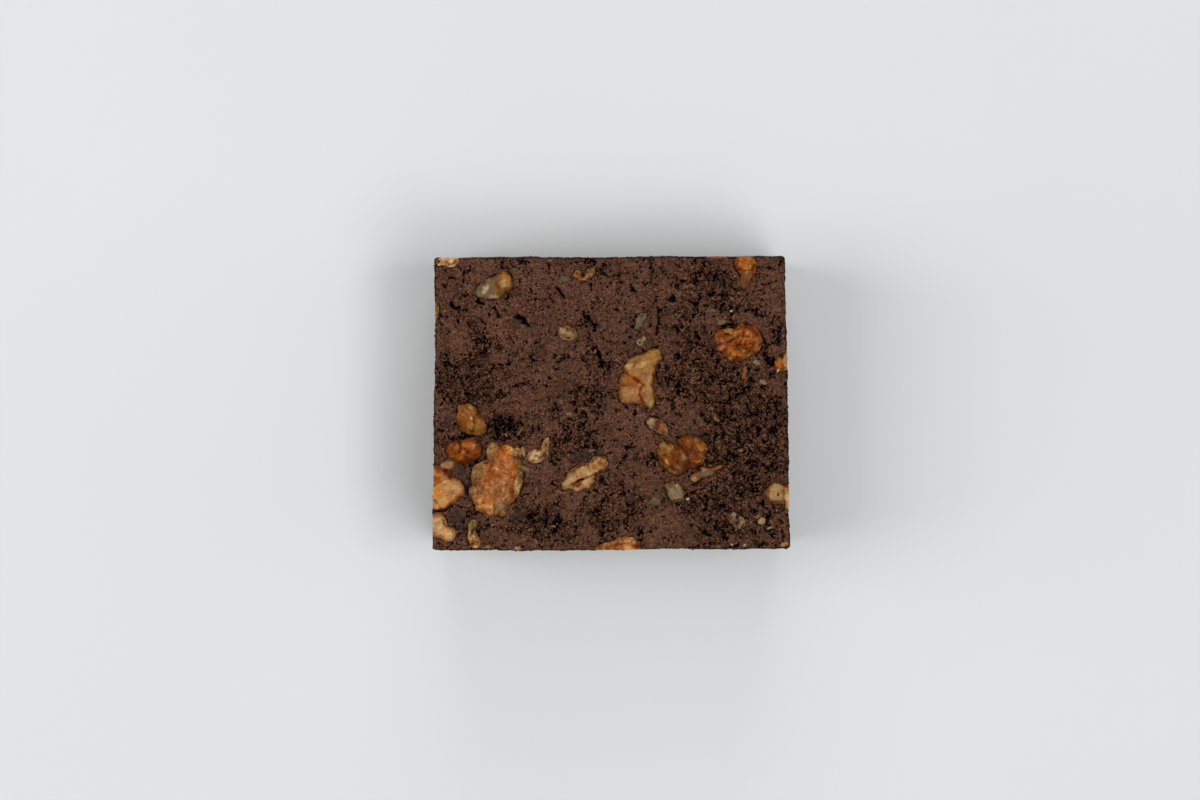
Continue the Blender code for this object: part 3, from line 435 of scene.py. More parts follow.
def ramp(values, low, high):
    """0 at low, 1 at high and smooth between them."""
    share = np.clip((values - low) / (high - low), 0, 1)
    return share * share * (3 - 2 * share)


def field(spots, size, seed):
    """Smooth noise from -1 to 1 at each spot, its swells about `size` apart."""
    shift = Vector((seed, 1.7 * seed, -seed))
    return np.array([noise.noise(Vector(spot) / size + shift) for spot in spots])


def layered(spots, seed, *layers, start=0.0, step=1):
    """Adds layers of noise to a start, each (height, size in mm), with seeds `step` apart."""
    total = start
    for k, (height, size) in enumerate(layers):
        total = total + height * field(spots, size * MM, seed + step * k)
    return total


def ridges(spots, size, seed):
    """Noise that is 1 along sharp ridges and falls to 0 between them."""
    return 1 - np.abs(field(spots, size, seed)) * 2.2


def from_cells(spots, size):
    """How far each spot lies from the middles of the cells round it, the nearest first."""
    return np.array([noise.voronoi(Vector(spot) / size)[0] for spot in spots])


def grainy(spots, size):
    """How far each spot lies from the middle of its grain, 0 to about 1."""
    return from_cells(spots, size)[:, 0]


def between_folds(spots, size):
    """0 in the valleys between rounded folds and towards 1 on the folds."""
    near = from_cells(spots, size)
    return near[:, 1] - near[:, 0]


def warped(spots, reach, size, seed):
    """The spots, each drawn a little aside, so that a pattern read there is bent and uneven."""
    return spots + reach * np.column_stack([field(spots, size, seed + k) for k in (0.0, 0.3, 0.6)])


def from_line(x, y, points):
    """Distance in mm of each spot from a line through the given points."""
    nearest = np.full(len(x), np.inf)
    for (x0, y0), (x1, y1) in zip(points, points[1:]):
        run, rise = x1 - x0, y1 - y0
        share = np.clip(((x - x0) * run + (y - y0) * rise) / (run * run + rise * rise), 0, 1)
        nearest = np.minimum(nearest, np.hypot(x - x0 - share * run, y - y0 - share * rise))
    return nearest


def from_oval(x, y, oval, turn=0):
    """0 in the middle of an oval and 1 on its rim."""
    cos, sin = math.cos(math.radians(turn)), math.sin(math.radians(turn))
    along = (x - oval.x) * cos + (y - oval.y) * sin
    over = (y - oval.y) * cos - (x - oval.x) * sin
    return np.hypot(along / oval.across, over / oval.up)


def nothing_selected():
    if bpy.context.object and bpy.context.object.mode != "OBJECT":
        bpy.ops.object.mode_set(mode="OBJECT")
    bpy.ops.object.select_all(action="DESELECT")


def only(thing):
    """Makes one object the selected and active one."""
    nothing_selected()
    thing.select_set(True)
    bpy.context.view_layer.objects.active = thing


def edit(thing, mode="VERT"):
    only(thing)
    bpy.ops.object.mode_set(mode="EDIT")
    bpy.ops.mesh.select_mode(type=mode)


def leave_edit():
    bpy.ops.object.mode_set(mode="OBJECT")


def select_edges(thing, test):
    """In edit mode, selects the edges whose two ends pass the test, and no others."""
    bpy.ops.mesh.select_all(action="DESELECT")
    bm = bmesh.from_edit_mesh(thing.data)
    for edge in bm.edges:
        a, b = edge.verts
        edge.select_set(test(a.co, b.co))
    bmesh.update_edit_mesh(thing.data)


def finished(thing, kind, **settings):
    """Gives the object a modifier and applies it."""
    only(thing)
    modifier = thing.modifiers.new(kind.title(), kind)
    for name, value in settings.items():
        setattr(modifier, name, value)
    bpy.ops.object.modifier_apply(modifier=modifier.name)


def numbers_of(parts, name, kind=float):
    """One number for each vertex, face or stored value of a mesh."""
    numbers = np.empty(len(parts), dtype=kind)
    parts.foreach_get(name, numbers)
    return numbers


def threes_of(parts, name, kind=float):
    """Three numbers for each vertex, direction or face of a mesh."""
    numbers = np.empty(len(parts) * 3, dtype=kind)
    parts.foreach_get(name, numbers)
    return numbers.reshape(-1, 3)


def spots_of(mesh):
    return threes_of(mesh.vertices, "co")


def directions_of(mesh):
    return threes_of(mesh.vertex_normals, "vector")


def in_mm(spots):
    """Where each spot lies along X and along Y, in mm."""
    return spots[:, 0] / MM, spots[:, 1] / MM


def put_spots(mesh, spots):
    mesh.vertices.foreach_set("co", spots.ravel())
    mesh.update()


def put_values(mesh, name, values):
    """Stores one number for each vertex, for a material to read."""
    layer = mesh.attributes.new(name, "FLOAT", "POINT")
    layer.data.foreach_set("value", values)


def values_of(mesh, name):
    """The numbers that put_values stored."""
    return numbers_of(mesh.attributes[name].data, "value")


def put_colours(mesh, name, colours):
    """Stores one colour for each vertex, for a material to read."""
    layer = mesh.attributes.new(name, "FLOAT_COLOR", "POINT")
    layer.data.foreach_set("color", np.column_stack([colours, np.ones(len(colours))]).ravel())


def wave(point, seed):
    """A smooth random swell from -1 to 1."""
    return noise.noise(point / WAVE_LENGTH + Vector((seed, -seed, 0.5 * seed)))


def uneven(point):
    """Where a point of the plain block lies on the hand-cut one. The underside stays flat."""
    x, y, z = point
    east, north, up = 2 * x / LENGTH, 2 * y / WIDTH, z / HEIGHT
    for (side_x, side_y), (inset_x, inset_y) in CORNER_INSET.items():
        share = (1 + side_x * east) / 2 * (1 + side_y * north) / 2 * up
        x -= side_x * inset_x * share
        y -= side_y * inset_y * share
    swell = BELLY * math.sin(math.pi * up)
    x += east * (swell + WAVE * wave(point, WAVE_SEEDS[0]) * abs(east))
    y += north * (swell + WAVE * wave(point, WAVE_SEEDS[1]) * abs(north))
    z += WAVE * wave(point, WAVE_SEEDS[2]) * up
    return Vector((x, y, z))


def rounded(point):
    """Where a point of the sharp block lies once its edges are rounded, and which way it faces."""
    reach = Vector((LENGTH / 2, WIDTH / 2, HEIGHT / 2))
    middle = Vector((0, 0, HEIGHT / 2))
    core = Vector(max(-r + EDGE_ROUND, min(r - EDGE_ROUND, p))
                  for p, r in zip(point - middle, reach))
    out = (point - middle - core).normalized()
    return middle + core + out * EDGE_ROUND, out


def dressed(thing, material):
    """Gives a piece its finish and lets it ride with the model."""
    thing.data.materials.clear()
    thing.data.materials.append(material)
    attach(thing, "root")


# ---- the walnuts ----

NUT_GRAIN = 0.14 * MM  # how finely a walnut is remeshed
NUT_SMOOTHING = 16
RIM_BAND = 0.08 * MM  # spots this near the top's level lie on the nut's rim
NUT_FULLER = 0.12 * MM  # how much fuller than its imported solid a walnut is, where it was not cut
NUT_SWELL = 0.22 * MM
SKIN_FOLD = 0.42 * MM  # how deep the valleys of the most folded walnut are
SKIN_WRINKLE = 0.26 * MM
FOLD_SIZE = 2.3 * MM
FOLD_FLANK = 0.42  # how broad the flank of a fold is, as a share of its size
WRINKLE_SIZE = 0.75 * MM
CUT_BAND = (0.9 * MM, 0.3 * MM)  # a face is a cut one from this far inside a side to this far
CUT_KEEPS = 0.12  # how much of the relief a knife leaves on a cut face
STREAK = 0.05 * MM
STREAK_LENGTH = 0.22  # the less, the longer the streaks are for their width
VALLEY_SHADE = (0.7, 0.52, 0.36)  # how painted shade changes the colour of the nut in a valley
RIM_SHADE = ((0.56, 0.3, 0.13), (0.48, 0.38, 0.2))  # the painted shade at the rim, on flesh and on skin
RIM_WIDTH = (0.55, 1.15)  # how wide that rim is in mm, on flesh and on skin
RIM_STRENGTH = (0.75, 0.66)
FULL_RIM_SIZE = 5.5  # nuts less than this many mm across have a narrower rim
NUT_TONE = ((1.13, 1.11, 1.12), (1.12, 1.13, 0.95))
RIDGE_LIGHT = (0.2, 0.34)  # how much lighter painted light makes the folds, on flesh and on skin
NUT_SHEEN = 0.004  # what the gloss adds to every colour
NUT_MOTTLE = (0.6, 1.0)  # how mottled flesh and skin are
MOTTLE_HUE = (-0.3, 0.2, 0.6)  # which way a light mottle leans: less red, more blue
DARKEST_MOTTLE = 0.3
CREASE_PAINT = 0.55
SPECK_SIZE = 0.42 * MM
GLINT = (0.72, 0.5, 0.34)
GLINT_SIZE = 0.34 * MM
SKIN_LINE = 0.34  # how wide the skin shows in mm round a cut face
SKIN_BELOW_TOP = 0.4 * MM  # it shows no higher than this far below the top
SKIN_BROWN = (142, 84, 38)
SKIN_NUTS = {"walnut_" + name for name in (
    "tongue", "curl", "wrinkled", "round", "bean", "heart", "large", "pear", "front_arch")}


def grown_walnut(name):
    """A fine copy of a packed walnut solid: merged, remeshed and smoothed."""
    only(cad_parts[name])
    bpy.ops.object.duplicate()
    piece = bpy.context.object
    piece.name = name.replace("walnut", "nut")
    edit(piece)
    bpy.ops.mesh.select_all(action="SELECT")
    bpy.ops.mesh.remove_doubles(threshold=WELD)
    leave_edit()
    finished(piece, "REMESH", mode="VOXEL", voxel_size=NUT_GRAIN)
    finished(piece, "SMOOTH", factor=0.5, iterations=NUT_SMOOTHING)
    return piece


def to_edge(spots, edge):
    """How far each spot lies, in mm, from the nearest spot of an edge."""
    if not len(edge):
        return np.full(len(spots), FAR / MM)
    search = KDTree(len(edge))
    for i, spot in enumerate(edge):
        search.insert(spot / MM, i)
    search.balance()
    return np.array([search.find(spot / MM)[2] for spot in spots])


def from_rim(spots, cut):
    """How far, in mm and seen from above, each spot lies from where the nut meets the crumb."""
    middle = spots.mean(axis=0)
    level = uneven(Vector((middle[0], middle[1], HEIGHT))).z
    flat = spots * (1, 1, 0)
    return to_edge(flat, flat[(np.abs(spots[:, 2] - level) < RIM_BAND) & (cut < 0.5)])


def streaks(spots, angle, size):
    """Fine wandering lines that run one way over a nut, from -1 to 1."""
    cos, sin = math.cos(math.radians(angle)), math.sin(math.radians(angle))
    along, over = spots[:, 0] * cos + spots[:, 1] * sin, spots[:, 1] * cos - spots[:, 0] * sin
    return field(np.column_stack([STREAK_LENGTH * along, over, 0.6 * spots[:, 2]]), size, 17)


def carved(piece, look, shown):
    """Gives a walnut its swells, folds, wrinkles and creases. `shown` is less on cut faces.

    Returns how high each spot stands among them, from about -1 to 1, and its streaks.
    """
    spots, out = spots_of(piece.data), directions_of(piece.data)
    x, y = in_mm(spots)
    swell = layered(spots, 1, (1.0, 2.1), (0.6, 1.1))
    bent = warped(spots, 0.7 * MM, 1.7 * MM, 3)
    streak = streaks(warped(spots, 0.25 * MM, 1.3 * MM, 18), look.streaks, 0.5 * MM)
    fold = ramp(between_folds(bent, FOLD_SIZE), 0.0, FOLD_FLANK) - 0.75
    wrinkle = 0.6 * ridges(bent * (1, 1, 0.5), WRINKLE_SIZE, 3)
    wrinkle = wrinkle + 0.4 * ridges(bent, 0.55 * WRINKLE_SIZE, 4) - 0.65
    rise = NUT_FULLER + NUT_SWELL * swell
    rise += SKIN_FOLD * look.folds * fold + SKIN_WRINKLE * (0.1 + look.folds) * wrinkle
    rise += STREAK * streak
    on_top = ramp(out[:, 2], 0.1, 0.6)
    wander = 0.26 * field(spots, 1.0 * MM, 4)
    crease_depth = np.zeros(len(spots))
    for crease in starmap(Crease, look.creases):
        away = from_line(x + wander, y - wander, crease.points)
        crease_depth += crease.depth * on_top * ramp(crease.width - away, 0, crease.width)
    rise -= crease_depth * MM
    put_spots(piece.data, spots + out * (rise * shown)[:, None])
    folded = 0.25 + 0.75 * look.folds
    height = 0.8 * swell + folded * (0.9 * fold + 0.7 * wrinkle) - 2.0 * crease_depth + 0.15
    return np.clip(height, -1, 1), streak


def cut_face(mesh):
    """1 on the faces where the knife went through a nut at a side of the block, 0 elsewhere."""
    spots, out = spots_of(mesh), directions_of(mesh)
    near_side = [
        ramp(np.abs(spots[:, axis]), half - CUT_BAND[0], half - CUT_BAND[1]) * np.abs(out[:, axis])
        for axis, half in enumerate((LENGTH / 2, WIDTH / 2))]
    return ramp(np.maximum(*near_side), 0.4, 0.85)


def smeared(mesh, veil, rim_mm, cut):
    """How far crumb is smeared over a nut: at its foot, in thin films and where it is veiled."""
    spots = spots_of(mesh)
    torn = layered(spots, 12, (0.6, 0.9), (0.4, 0.35))
    foot = ramp((0.6 + veil) * torn + 0.6 * veil - rim_mm - 0.02, 0, 0.2)
    sunken = ramp(HEIGHT - 0.1 * MM - spots[:, 2], 0, 0.25 * MM)
    foot = np.maximum(foot, sunken) * (1 - cut)
    film = ramp(torn + 0.5 * cut * field(spots, 3 * MM, 14), 0.34, 0.5) * 0.6
    return np.clip(np.maximum(np.maximum(foot, film * (0.3 + veil)), veil * (0.75 + torn)), 0, 1)


def mixed(under, over, share):
    return under + (np.asarray(over) - under) * share[:, None]


def shaded(paint, shade_colour, share):
    """The paint, darkened towards a painted shade colour by the given share."""
    return paint * (1 + (np.array(shade_colour) - 1) * share[:, None])


def painted(spots, look):
    """A walnut's own colour with its patches and creases, their edges wandering."""
    x, y = in_mm(spots)
    east = layered(spots, 5, (0.4, 1.3), (0.3, 0.5))
    north = layered(spots, 7, (0.4, 1.3), (0.3, 0.5))
    paint = np.tile(tint(*look.base), (len(spots), 1))
    for patch in starmap(Patch, look.patches):
        away = from_oval(x + east, y + north, patch, patch.turn)
        paint = mixed(paint, tint(*patch.colour), patch.strength * ramp(-away, -1.45, -0.4))
    for crease in starmap(Crease, look.creases):
        away = from_line(x + 0.6 * east, y + 0.6 * north, crease.points)
        width = crease.width * (1 + 0.9 * east)
        paint = mixed(paint, tint(*crease.colour), CREASE_PAINT * ramp(-away, -width, 0))
    return paint


def coloured(piece, look, skin, height, streak, rim_mm, cut):
    """Paints a walnut: own colours, mottle, skin; painted shade in valleys and rims, light on folds.
    """
    spots = spots_of(piece.data)
    paint = painted(spots, look)
    valley, ridge = ramp(-height, -0.1, 0.85), ramp(height, 0.05, 0.8)
    paint = mixed(paint, tint(*look.vein_colour), (0.1 + look.folds) * 0.6 * valley)
    # painted shade in the valleys of the relief
    paint = shaded(paint, VALLEY_SHADE, 0.7 * valley)
    # painted light on the folds
    paint *= (1 + RIDGE_LIGHT[skin] * ridge)[:, None]
    speck = ramp(field(spots, SPECK_SIZE, 9), 0.42, 0.6)
    paint = mixed(paint, tint(*RUST), look.specks * speck)

    torn = layered(spots, 15, (1.0, 1.1), (0.5, 0.4))
    reach = RIM_WIDTH[skin] * min(1, min(map(np.ptp, in_mm(spots))) / FULL_RIM_SIZE)
    rim = RIM_STRENGTH[skin] * ramp(reach * (1 + 0.8 * torn) - rim_mm, 0, reach) * (1 - cut)
    # painted shade in a band round the rim, where the nut rounds down into the crumb
    paint = shaded(paint, RIM_SHADE[skin], rim)

    mottle = NUT_MOTTLE[skin] * (layered(spots, 10, (0.36, 0.9), (0.26, 0.4)) + 0.3 * streak)
    hue = 1 + 0.25 * mottle[:, None] * np.array(MOTTLE_HUE)
    paint *= np.maximum(1 + mottle, DARKEST_MOTTLE)[:, None] * hue
    glint = skin * ramp(field(spots, GLINT_SIZE, 19) + 0.6 * height, 0.4, 0.8) * (1 - rim)
    paint = mixed(paint, GLINT, 0.4 * glint)

    to_skin = to_edge(spots, spots[(cut > 0.1) & (cut < 0.6)])
    low_enough = (cut > 0.05) * (spots[:, 2] < HEIGHT - SKIN_BELOW_TOP)
    skin_line = ramp(SKIN_LINE * (1 + 0.8 * torn) - to_skin, -0.1, 0.2) * low_enough
    paint = mixed(paint, tint(*SKIN_BROWN), 0.8 * skin_line)
    put_colours(piece.data, "nut_colour", np.maximum(paint * NUT_TONE[skin] - NUT_SHEEN, 0.002))


def walnut(name, look, looks):
    """One finished walnut piece on the top or cut open at a side."""
    piece = grown_walnut(name)
    skin = name in SKIN_NUTS
    cut = cut_face(piece.data)
    height, streak = carved(piece, look, 1 - (1 - CUT_KEEPS) * cut)
    rim_mm = from_rim(spots_of(piece.data), cut)
    coloured(piece, look, skin, height, streak, rim_mm, cut)
    put_values(piece.data, "smear", smeared(piece.data, look.veil, rim_mm, cut))
    finish = "walnut_skin" if skin else "walnut_flesh"
    dressed(piece, looks[finish])
    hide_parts(name)
    return piece


# ---- the crumb ----

TOP_CELLS = (296, 244)
SIDE_ROWS = 54
ROW_CROWDING = 1.2  # above 1 the rows lie closer together near the top
FOOT_INSET = 1.6 * MM
CRUMB_FACETS = 192000  # of its fine facets, the ones kept
FEELER = 0.35 * MM  # how far under the crumb's skin a nut is felt for
DEEPEST = 1.3 * MM  # no spot under the crumb's skin lies deeper in a nut than this
DEEP = 1.1 * MM  # how far the crumb lies back under a walnut
NUT_CLEARANCE = 0.13  # how far outside a nut in mm it begins to
TOP_BAND = (0.3, 0.8)  # a spot belongs to the top the more it faces up, from this to this
PLAIN_OPENNESS = 0.16
SIDE_OPENNESS = 0.3
ZONE_WANDER = ((2.6, 4.5), (1.3, 1.8))
SPOT_WANDER = ((0.9, 1.6),)
ZONE_EDGE = (-1.35, -0.45)  # where an open zone fades in, -1 being its rim and 0 its middle
SPOT_EDGE = (-1.35, -0.65)
PRESSING = 0.9  # how far a pressed spot loses its openness
CRACK_SPACING = 4.6 * MM
CLUMP_SIZE = 1.7 * MM
PORE_SPACING = 2.7 * MM
PORE_SIZES = (0.14, 0.2)  # the least radius and what chance adds, as shares of that spacing
PORE_FOOT = (1.0 * MM, 2.0 * MM)  # pores fade in at this height above the underside
# Layers of relief, each one's height and size in mm.
BROAD_SWELLS = ((0.10, 6.0), (0.07, 2.2))
SIDE_SWELLS = ((0.16, 2.4), (0.09, 1.0))
OUTLINE_WANDER = ((0.34, 1.1), (0.16, 0.45))
# Heights in mm: what they are in smeared crumb, and what openness adds.
RIPPLE = (0.03, 0.09)
GRAIN = (0.05, 0.16)
GAP_DEPTH = (0.22, 0.4)
GAP_SHARE = (-0.39, 0.24)  # the larger, the more small gaps there are
RIPPLE_SIZE = 0.8 * MM
GRAIN_SIZE = 0.62 * MM
CLUMP_HEIGHT = 0.24
PORE_DEPTH = 0.8
DRAG_HEIGHT = 0.05
DRAG = (1, 1, 0.18)  # the knife drew the sides' finest relief out in height
SLIT_FLARE = 0.7  # how much wider and narrower slits become on their way
LUMP_LEVELS = 0.6  # how much of the relief a lump of chocolate evens out
LUMP_DENTS = 0.07


def crumb_skin():
    """The plain block as a closed skin: a fine grid, its rim drawn down in rows, a flat foot."""
    nothing_selected()
    across, up = TOP_CELLS
    bpy.ops.mesh.primitive_grid_add(x_subdivisions=across, y_subdivisions=up, size=1)
    block = bpy.context.object
    block.name = "crumb_block"
    edit(block, "EDGE")
    bpy.ops.mesh.select_all(action="SELECT")
    bpy.ops.transform.resize(value=(LENGTH, WIDTH, 1))
    bpy.ops.transform.translate(value=(0, 0, HEIGHT))
    bpy.ops.mesh.region_to_loop()
    bpy.ops.mesh.extrude_edges_move(TRANSFORM_OT_translate={"value": (0, 0, -HEIGHT)})
    select_edges(block, lambda a, b: abs(a.z - b.z) > HEIGHT / 2)
    bpy.ops.mesh.subdivide(number_cuts=SIDE_ROWS - 1)
    select_edges(block, lambda a, b: a.z < WELD and b.z < WELD)
    bpy.ops.mesh.edge_face_add()
    bpy.ops.mesh.select_mode(type="FACE")
    bpy.ops.mesh.inset(thickness=FOOT_INSET)
    bpy.ops.mesh.select_all(action="SELECT")
    bpy.ops.mesh.normals_make_consistent(inside=False)
    leave_edit()
    return block


def crowded(height):
    """Moves a side's even rows so that they lie closer together near the top."""
    return HEIGHT * (1 - max(0, 1 - height / HEIGHT) ** ROW_CROWDING)


def settled(block):
    """Rounds the plain block and makes it uneven. Returns each spot and the way it faces."""
    spots, out = [], []
    for vert in block.data.vertices:
        x, y, z = vert.co
        if z < WELD and abs(x) < LENGTH / 2 - WELD and abs(y) < WIDTH / 2 - WELD:
            spots.append((x, y, 0.0))  # the flat foot, which faces nowhere, so that it never moves
            out.append((0.0, 0.0, 0.0))
            continue
        place, facing = rounded(Vector((x, y, crowded(z))))
        spots.append(uneven(place))
        out.append(facing)
    return np.array(spots), np.array(out)


def tree_of(things):
    """One search tree over the faces of several pieces."""
    spots, faces = [], []
    for thing in things:
        start = len(spots)
        spots.extend(vert.co.copy() for vert in thing.data.vertices)
        faces.extend([start + i for i in face.vertices] for face in thing.data.polygons)
    return BVHTree.FromPolygons(spots, faces)


def depth_in_nuts(tree, spots, out):
    """How far outside (positive) or inside a nut each spot is, felt just under the skin."""
    depth = np.full(len(spots), FAR)
    for i, (spot, facing) in enumerate(zip(spots, out)):
        felt = Vector(spot) - Vector(facing) * FEELER
        place, normal, _, distance = tree.find_nearest(felt, FAR)
        if place is not None:
            inside = distance < DEEPEST and (felt - place).dot(normal) < 0
            depth[i] = -distance if inside else distance
    return depth


def within(x, y, zones, edge, start):
    """How far each spot lies within one of the zones, or else the start."""
    for zone in starmap(Zone, zones):
        inside = zone.strength * ramp(-from_oval(x, y, zone), *edge)
        start = np.maximum(start, inside)
    return start


def openness(spots, top, beside_crack):
    """0 where the crumb is smeared to a film, 1 where it lies open and rough."""
    x, y = in_mm(spots)
    x = layered(spots, 20, *ZONE_WANDER, start=x)
    y = layered(spots, 22, *ZONE_WANDER, start=y)
    plain = layered(spots, 24, (0.3, 3.5), start=PLAIN_OPENNESS)
    open_crumb = within(x, y, OPEN_CRUMB, ZONE_EDGE, plain)
    patchy = 0.42 * field(spots, 1.5 * MM, 26) * ramp(open_crumb, -0.2, 0.6)
    open_crumb = open_crumb + (patchy + 0.45 * beside_crack)
    side = layered(spots, 25, (0.25, 5.0), (0.2, 1.6), start=SIDE_OPENNESS, step=20)
    return np.clip(top * open_crumb + (1 - top) * side, 0, 1.1)


def at_spots(spots, zones):
    """How far each spot lies within one of the smaller zones, whose edges are ragged."""
    x, y = in_mm(spots)
    x = layered(spots, 48, *SPOT_WANDER, start=x)
    y = layered(spots, 49, *SPOT_WANDER, start=y)
    return within(x, y, zones, SPOT_EDGE, np.zeros(len(spots)))


def cracks(spots):
    """How near each spot is to a crack between two plates of crumb, and how deep in it."""
    bent = warped(spots, 1.5 * MM, 1.8 * MM, 27)
    apart = between_folds(bent * (1, 1, 0.6), CRACK_SPACING)
    torn = ramp(layered(spots, 28, (1.0, 3.2), (0.5, 1.0)), 0.0, 0.35)
    return torn * ramp(-apart, -0.4, 0.0), torn * ramp(-apart, -0.13 * torn - 0.01, 0.0)


def pores(spots, wanted):
    """How deep each spot lies in one of the round pores of the cut sides, 0 to 1."""
    deep = np.zeros(len(spots))
    for i in np.flatnonzero(wanted):
        near, middles = noise.voronoi(Vector(spots[i]) / PORE_SPACING)
        deep[i] = PORE_SIZES[0] + PORE_SIZES[1] * noise.cell(middles[0] * 9.7) - near[0]
    return ramp(deep, -0.02, 0.12) * wanted


def clumped(spots, open_crumb, clump):
    """The crumb's plain relief in mm: broad swells, then clumps and grains where it is open."""
    rise = layered(spots, 32, *BROAD_SWELLS)
    rise += CLUMP_HEIGHT * open_crumb * (ramp(clump, 0, 0.45) - 0.6)
    rise += (RIPPLE[0] + RIPPLE[1] * open_crumb) * field(spots, RIPPLE_SIZE, 34)
    rise += (GRAIN[0] + GRAIN[1] * open_crumb) * (0.4 - grainy(spots, GRAIN_SIZE))
    return rise


def gaps(spots, open_crumb, clump, crack):
    """How deep each spot lies in a small gap, in a crevice between clumps or in a crack."""
    crevice_width = 0.22 * (open_crumb - 0.5) + 0.24 * field(spots, 1.3 * MM, 42)
    crevice = ramp(crevice_width - clump, -0.03, 0.06)
    gappy = layered(spots, 35, (0.6, 1.0), (0.4, 0.5))
    gap = ramp(GAP_SHARE[0] + GAP_SHARE[1] * open_crumb - gappy, -0.02, 0.06)
    return np.maximum(gap, np.maximum(crack, crevice))


def slit_open(x, y, top, flare, rise, hollow):
    """Opens the larger slits and holes in the relief."""
    for slit in starmap(Slit, SLITS):
        away = from_line(x, y, slit.points)
        cleft = top * ramp(slit.width * flare - away, -0.1 * slit.width, 0.6 * slit.width)
        rise = rise - slit.depth * cleft
        hollow = np.maximum(hollow, cleft * min(1, slit.depth + 0.25))
    return rise, hollow


def melted(spots, x, y, top, rise, hollow):
    """Puts the lumps of chocolate on the relief, and says where it is smooth."""
    smooth = np.zeros(len(spots))
    dents = LUMP_DENTS * field(spots, 0.55 * MM, 44)
    for lump in starmap(Lump, LUMPS):
        away = from_oval(x, y, lump, lump.turn)
        cap = top * ramp(-away, -1.15, -0.7)
        dome = lump.rise * np.sqrt(np.clip(1.1 - away * away, 0, 1)) + dents
        rise = rise * (1 - LUMP_LEVELS * cap) + cap * dome
        hollow = hollow * (1 - cap)
        smooth = np.maximum(smooth, cap)
    return rise, hollow, smooth


def crumb_relief(spots, out, nut_depth):
    """How far each spot of the crumb rises in metres, and what its finish needs to know of it."""
    top = ramp(out[:, 2], *TOP_BAND)
    beside_crack, crack = cracks(spots)
    pressed = top * at_spots(spots, PRESSED_SPOTS)
    open_crumb = openness(spots, top, beside_crack)
    open_crumb = np.maximum(open_crumb, top * at_spots(spots, TORN_SPOTS))
    open_crumb = open_crumb * (1 - PRESSING * pressed)

    clump = between_folds(warped(spots, 0.5 * MM, 0.9 * MM, 39), CLUMP_SIZE)
    rise = clumped(spots, open_crumb, clump)
    gap = gaps(spots, open_crumb, clump, crack) * (1 - pressed)
    rise -= gap * (GAP_DEPTH[0] + GAP_DEPTH[1] * open_crumb)

    pore = (1 - top) * pores(spots, top < 0.5) * ramp(spots[:, 2], *PORE_FOOT)
    rise -= PORE_DEPTH * pore
    # hollow marks where the finish paints shade: gaps and pores here, slits and the crumb under the
    # nuts' rims below
    hollow = np.maximum(0.95 * gap, 0.7 * pore)
    rise += (1 - top) * DRAG_HEIGHT * field(spots * DRAG, 0.7 * MM, 43)
    rise += (1 - top) * layered(spots, 50, *SIDE_SWELLS)

    x, y = in_mm(spots)
    x = x + layered(spots, 30, *OUTLINE_WANDER, step=15)
    y = y + layered(spots, 31, *OUTLINE_WANDER, step=15)
    flare = 1 + SLIT_FLARE * field(spots, 0.9 * MM, 47)
    rise, hollow = slit_open(x, y, top, flare, rise, hollow)
    rise, hollow, smooth = melted(spots, x, y, top, rise, hollow)

    tight = layered(spots, 37, (0.44, 1.9), (0.2, 0.7), start=NUT_CLEARANCE)
    under_nut = ramp(-nut_depth / MM, -tight, 0.3 - tight)
    rise = rise * (1 - under_nut) - DEEP / MM * under_nut
    hollow = np.maximum(hollow, under_nut)
    rise[np.linalg.norm(out, axis=1) < 0.5] = 0
    facts = {"open_crumb": open_crumb, "hollow": hollow, "smooth": smooth, "side": 1 - top}
    return rise * MM, facts


def crumb_block(tree, looks):
    """The finished crumb of the whole block, closed up round the nuts in the tree."""
    block = crumb_skin()
    spots, out = settled(block)
    nut_depth = depth_in_nuts(tree, spots, out)
    rise, facts = crumb_relief(spots, out, nut_depth)
    placed = spots + out * rise[:, None]
    placed[:, 2] = np.maximum(placed[:, 2], 0)
    put_spots(block.data, placed)
    for name, values in facts.items():
        put_values(block.data, name, values)
    put_values(block.data, "by_nut", nut_depth / MM)
    finished(block, "TRIANGULATE")
    finished(block, "DECIMATE", ratio=CRUMB_FACETS / len(block.data.polygons))
    only(block)
    bpy.ops.object.shade_smooth()
    dressed(block, looks["crumb"])
    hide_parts("brownie")
    return block


# ---- chips and loose crumbs ----

CHIP_THICKNESS = 0.3  # of its width, to which LEAST_THICKNESS mm are added
LEAST_THICKNESS = 0.25
CHIP_SINK = 0.12  # how far its middle lies in the crumb, as a share of its thickness
CHIP_JAGS = ((0.34, 0.55, 40), (0.2, 0.25, 60))  # height and size for a ball 1 across, and seed
BLUNTNESS = 0.92  # below 1 a chip is a little boxy
# Loose crumbs: their seed, how many there are, and their least and largest radius in mm.
BROWN_CRUMBS = Crumbs(11, 9500, 0.10, 0.27)
DARK_CRUMBS = Crumbs(12, 4500, 0.11, 0.30)
RUST_CRUMBS = Crumbs(13, 2200, 0.10, 0.22)
SQUASH = (0.65, 1.25)  # how much shorter or longer a crumb is each way than its radius says
JAG = (0.75, 1.2)  # how far in or out each of its corners lies
SINK = (-0.35, 0.45)  # how far its middle lies in (negative) or out of the block, in radii


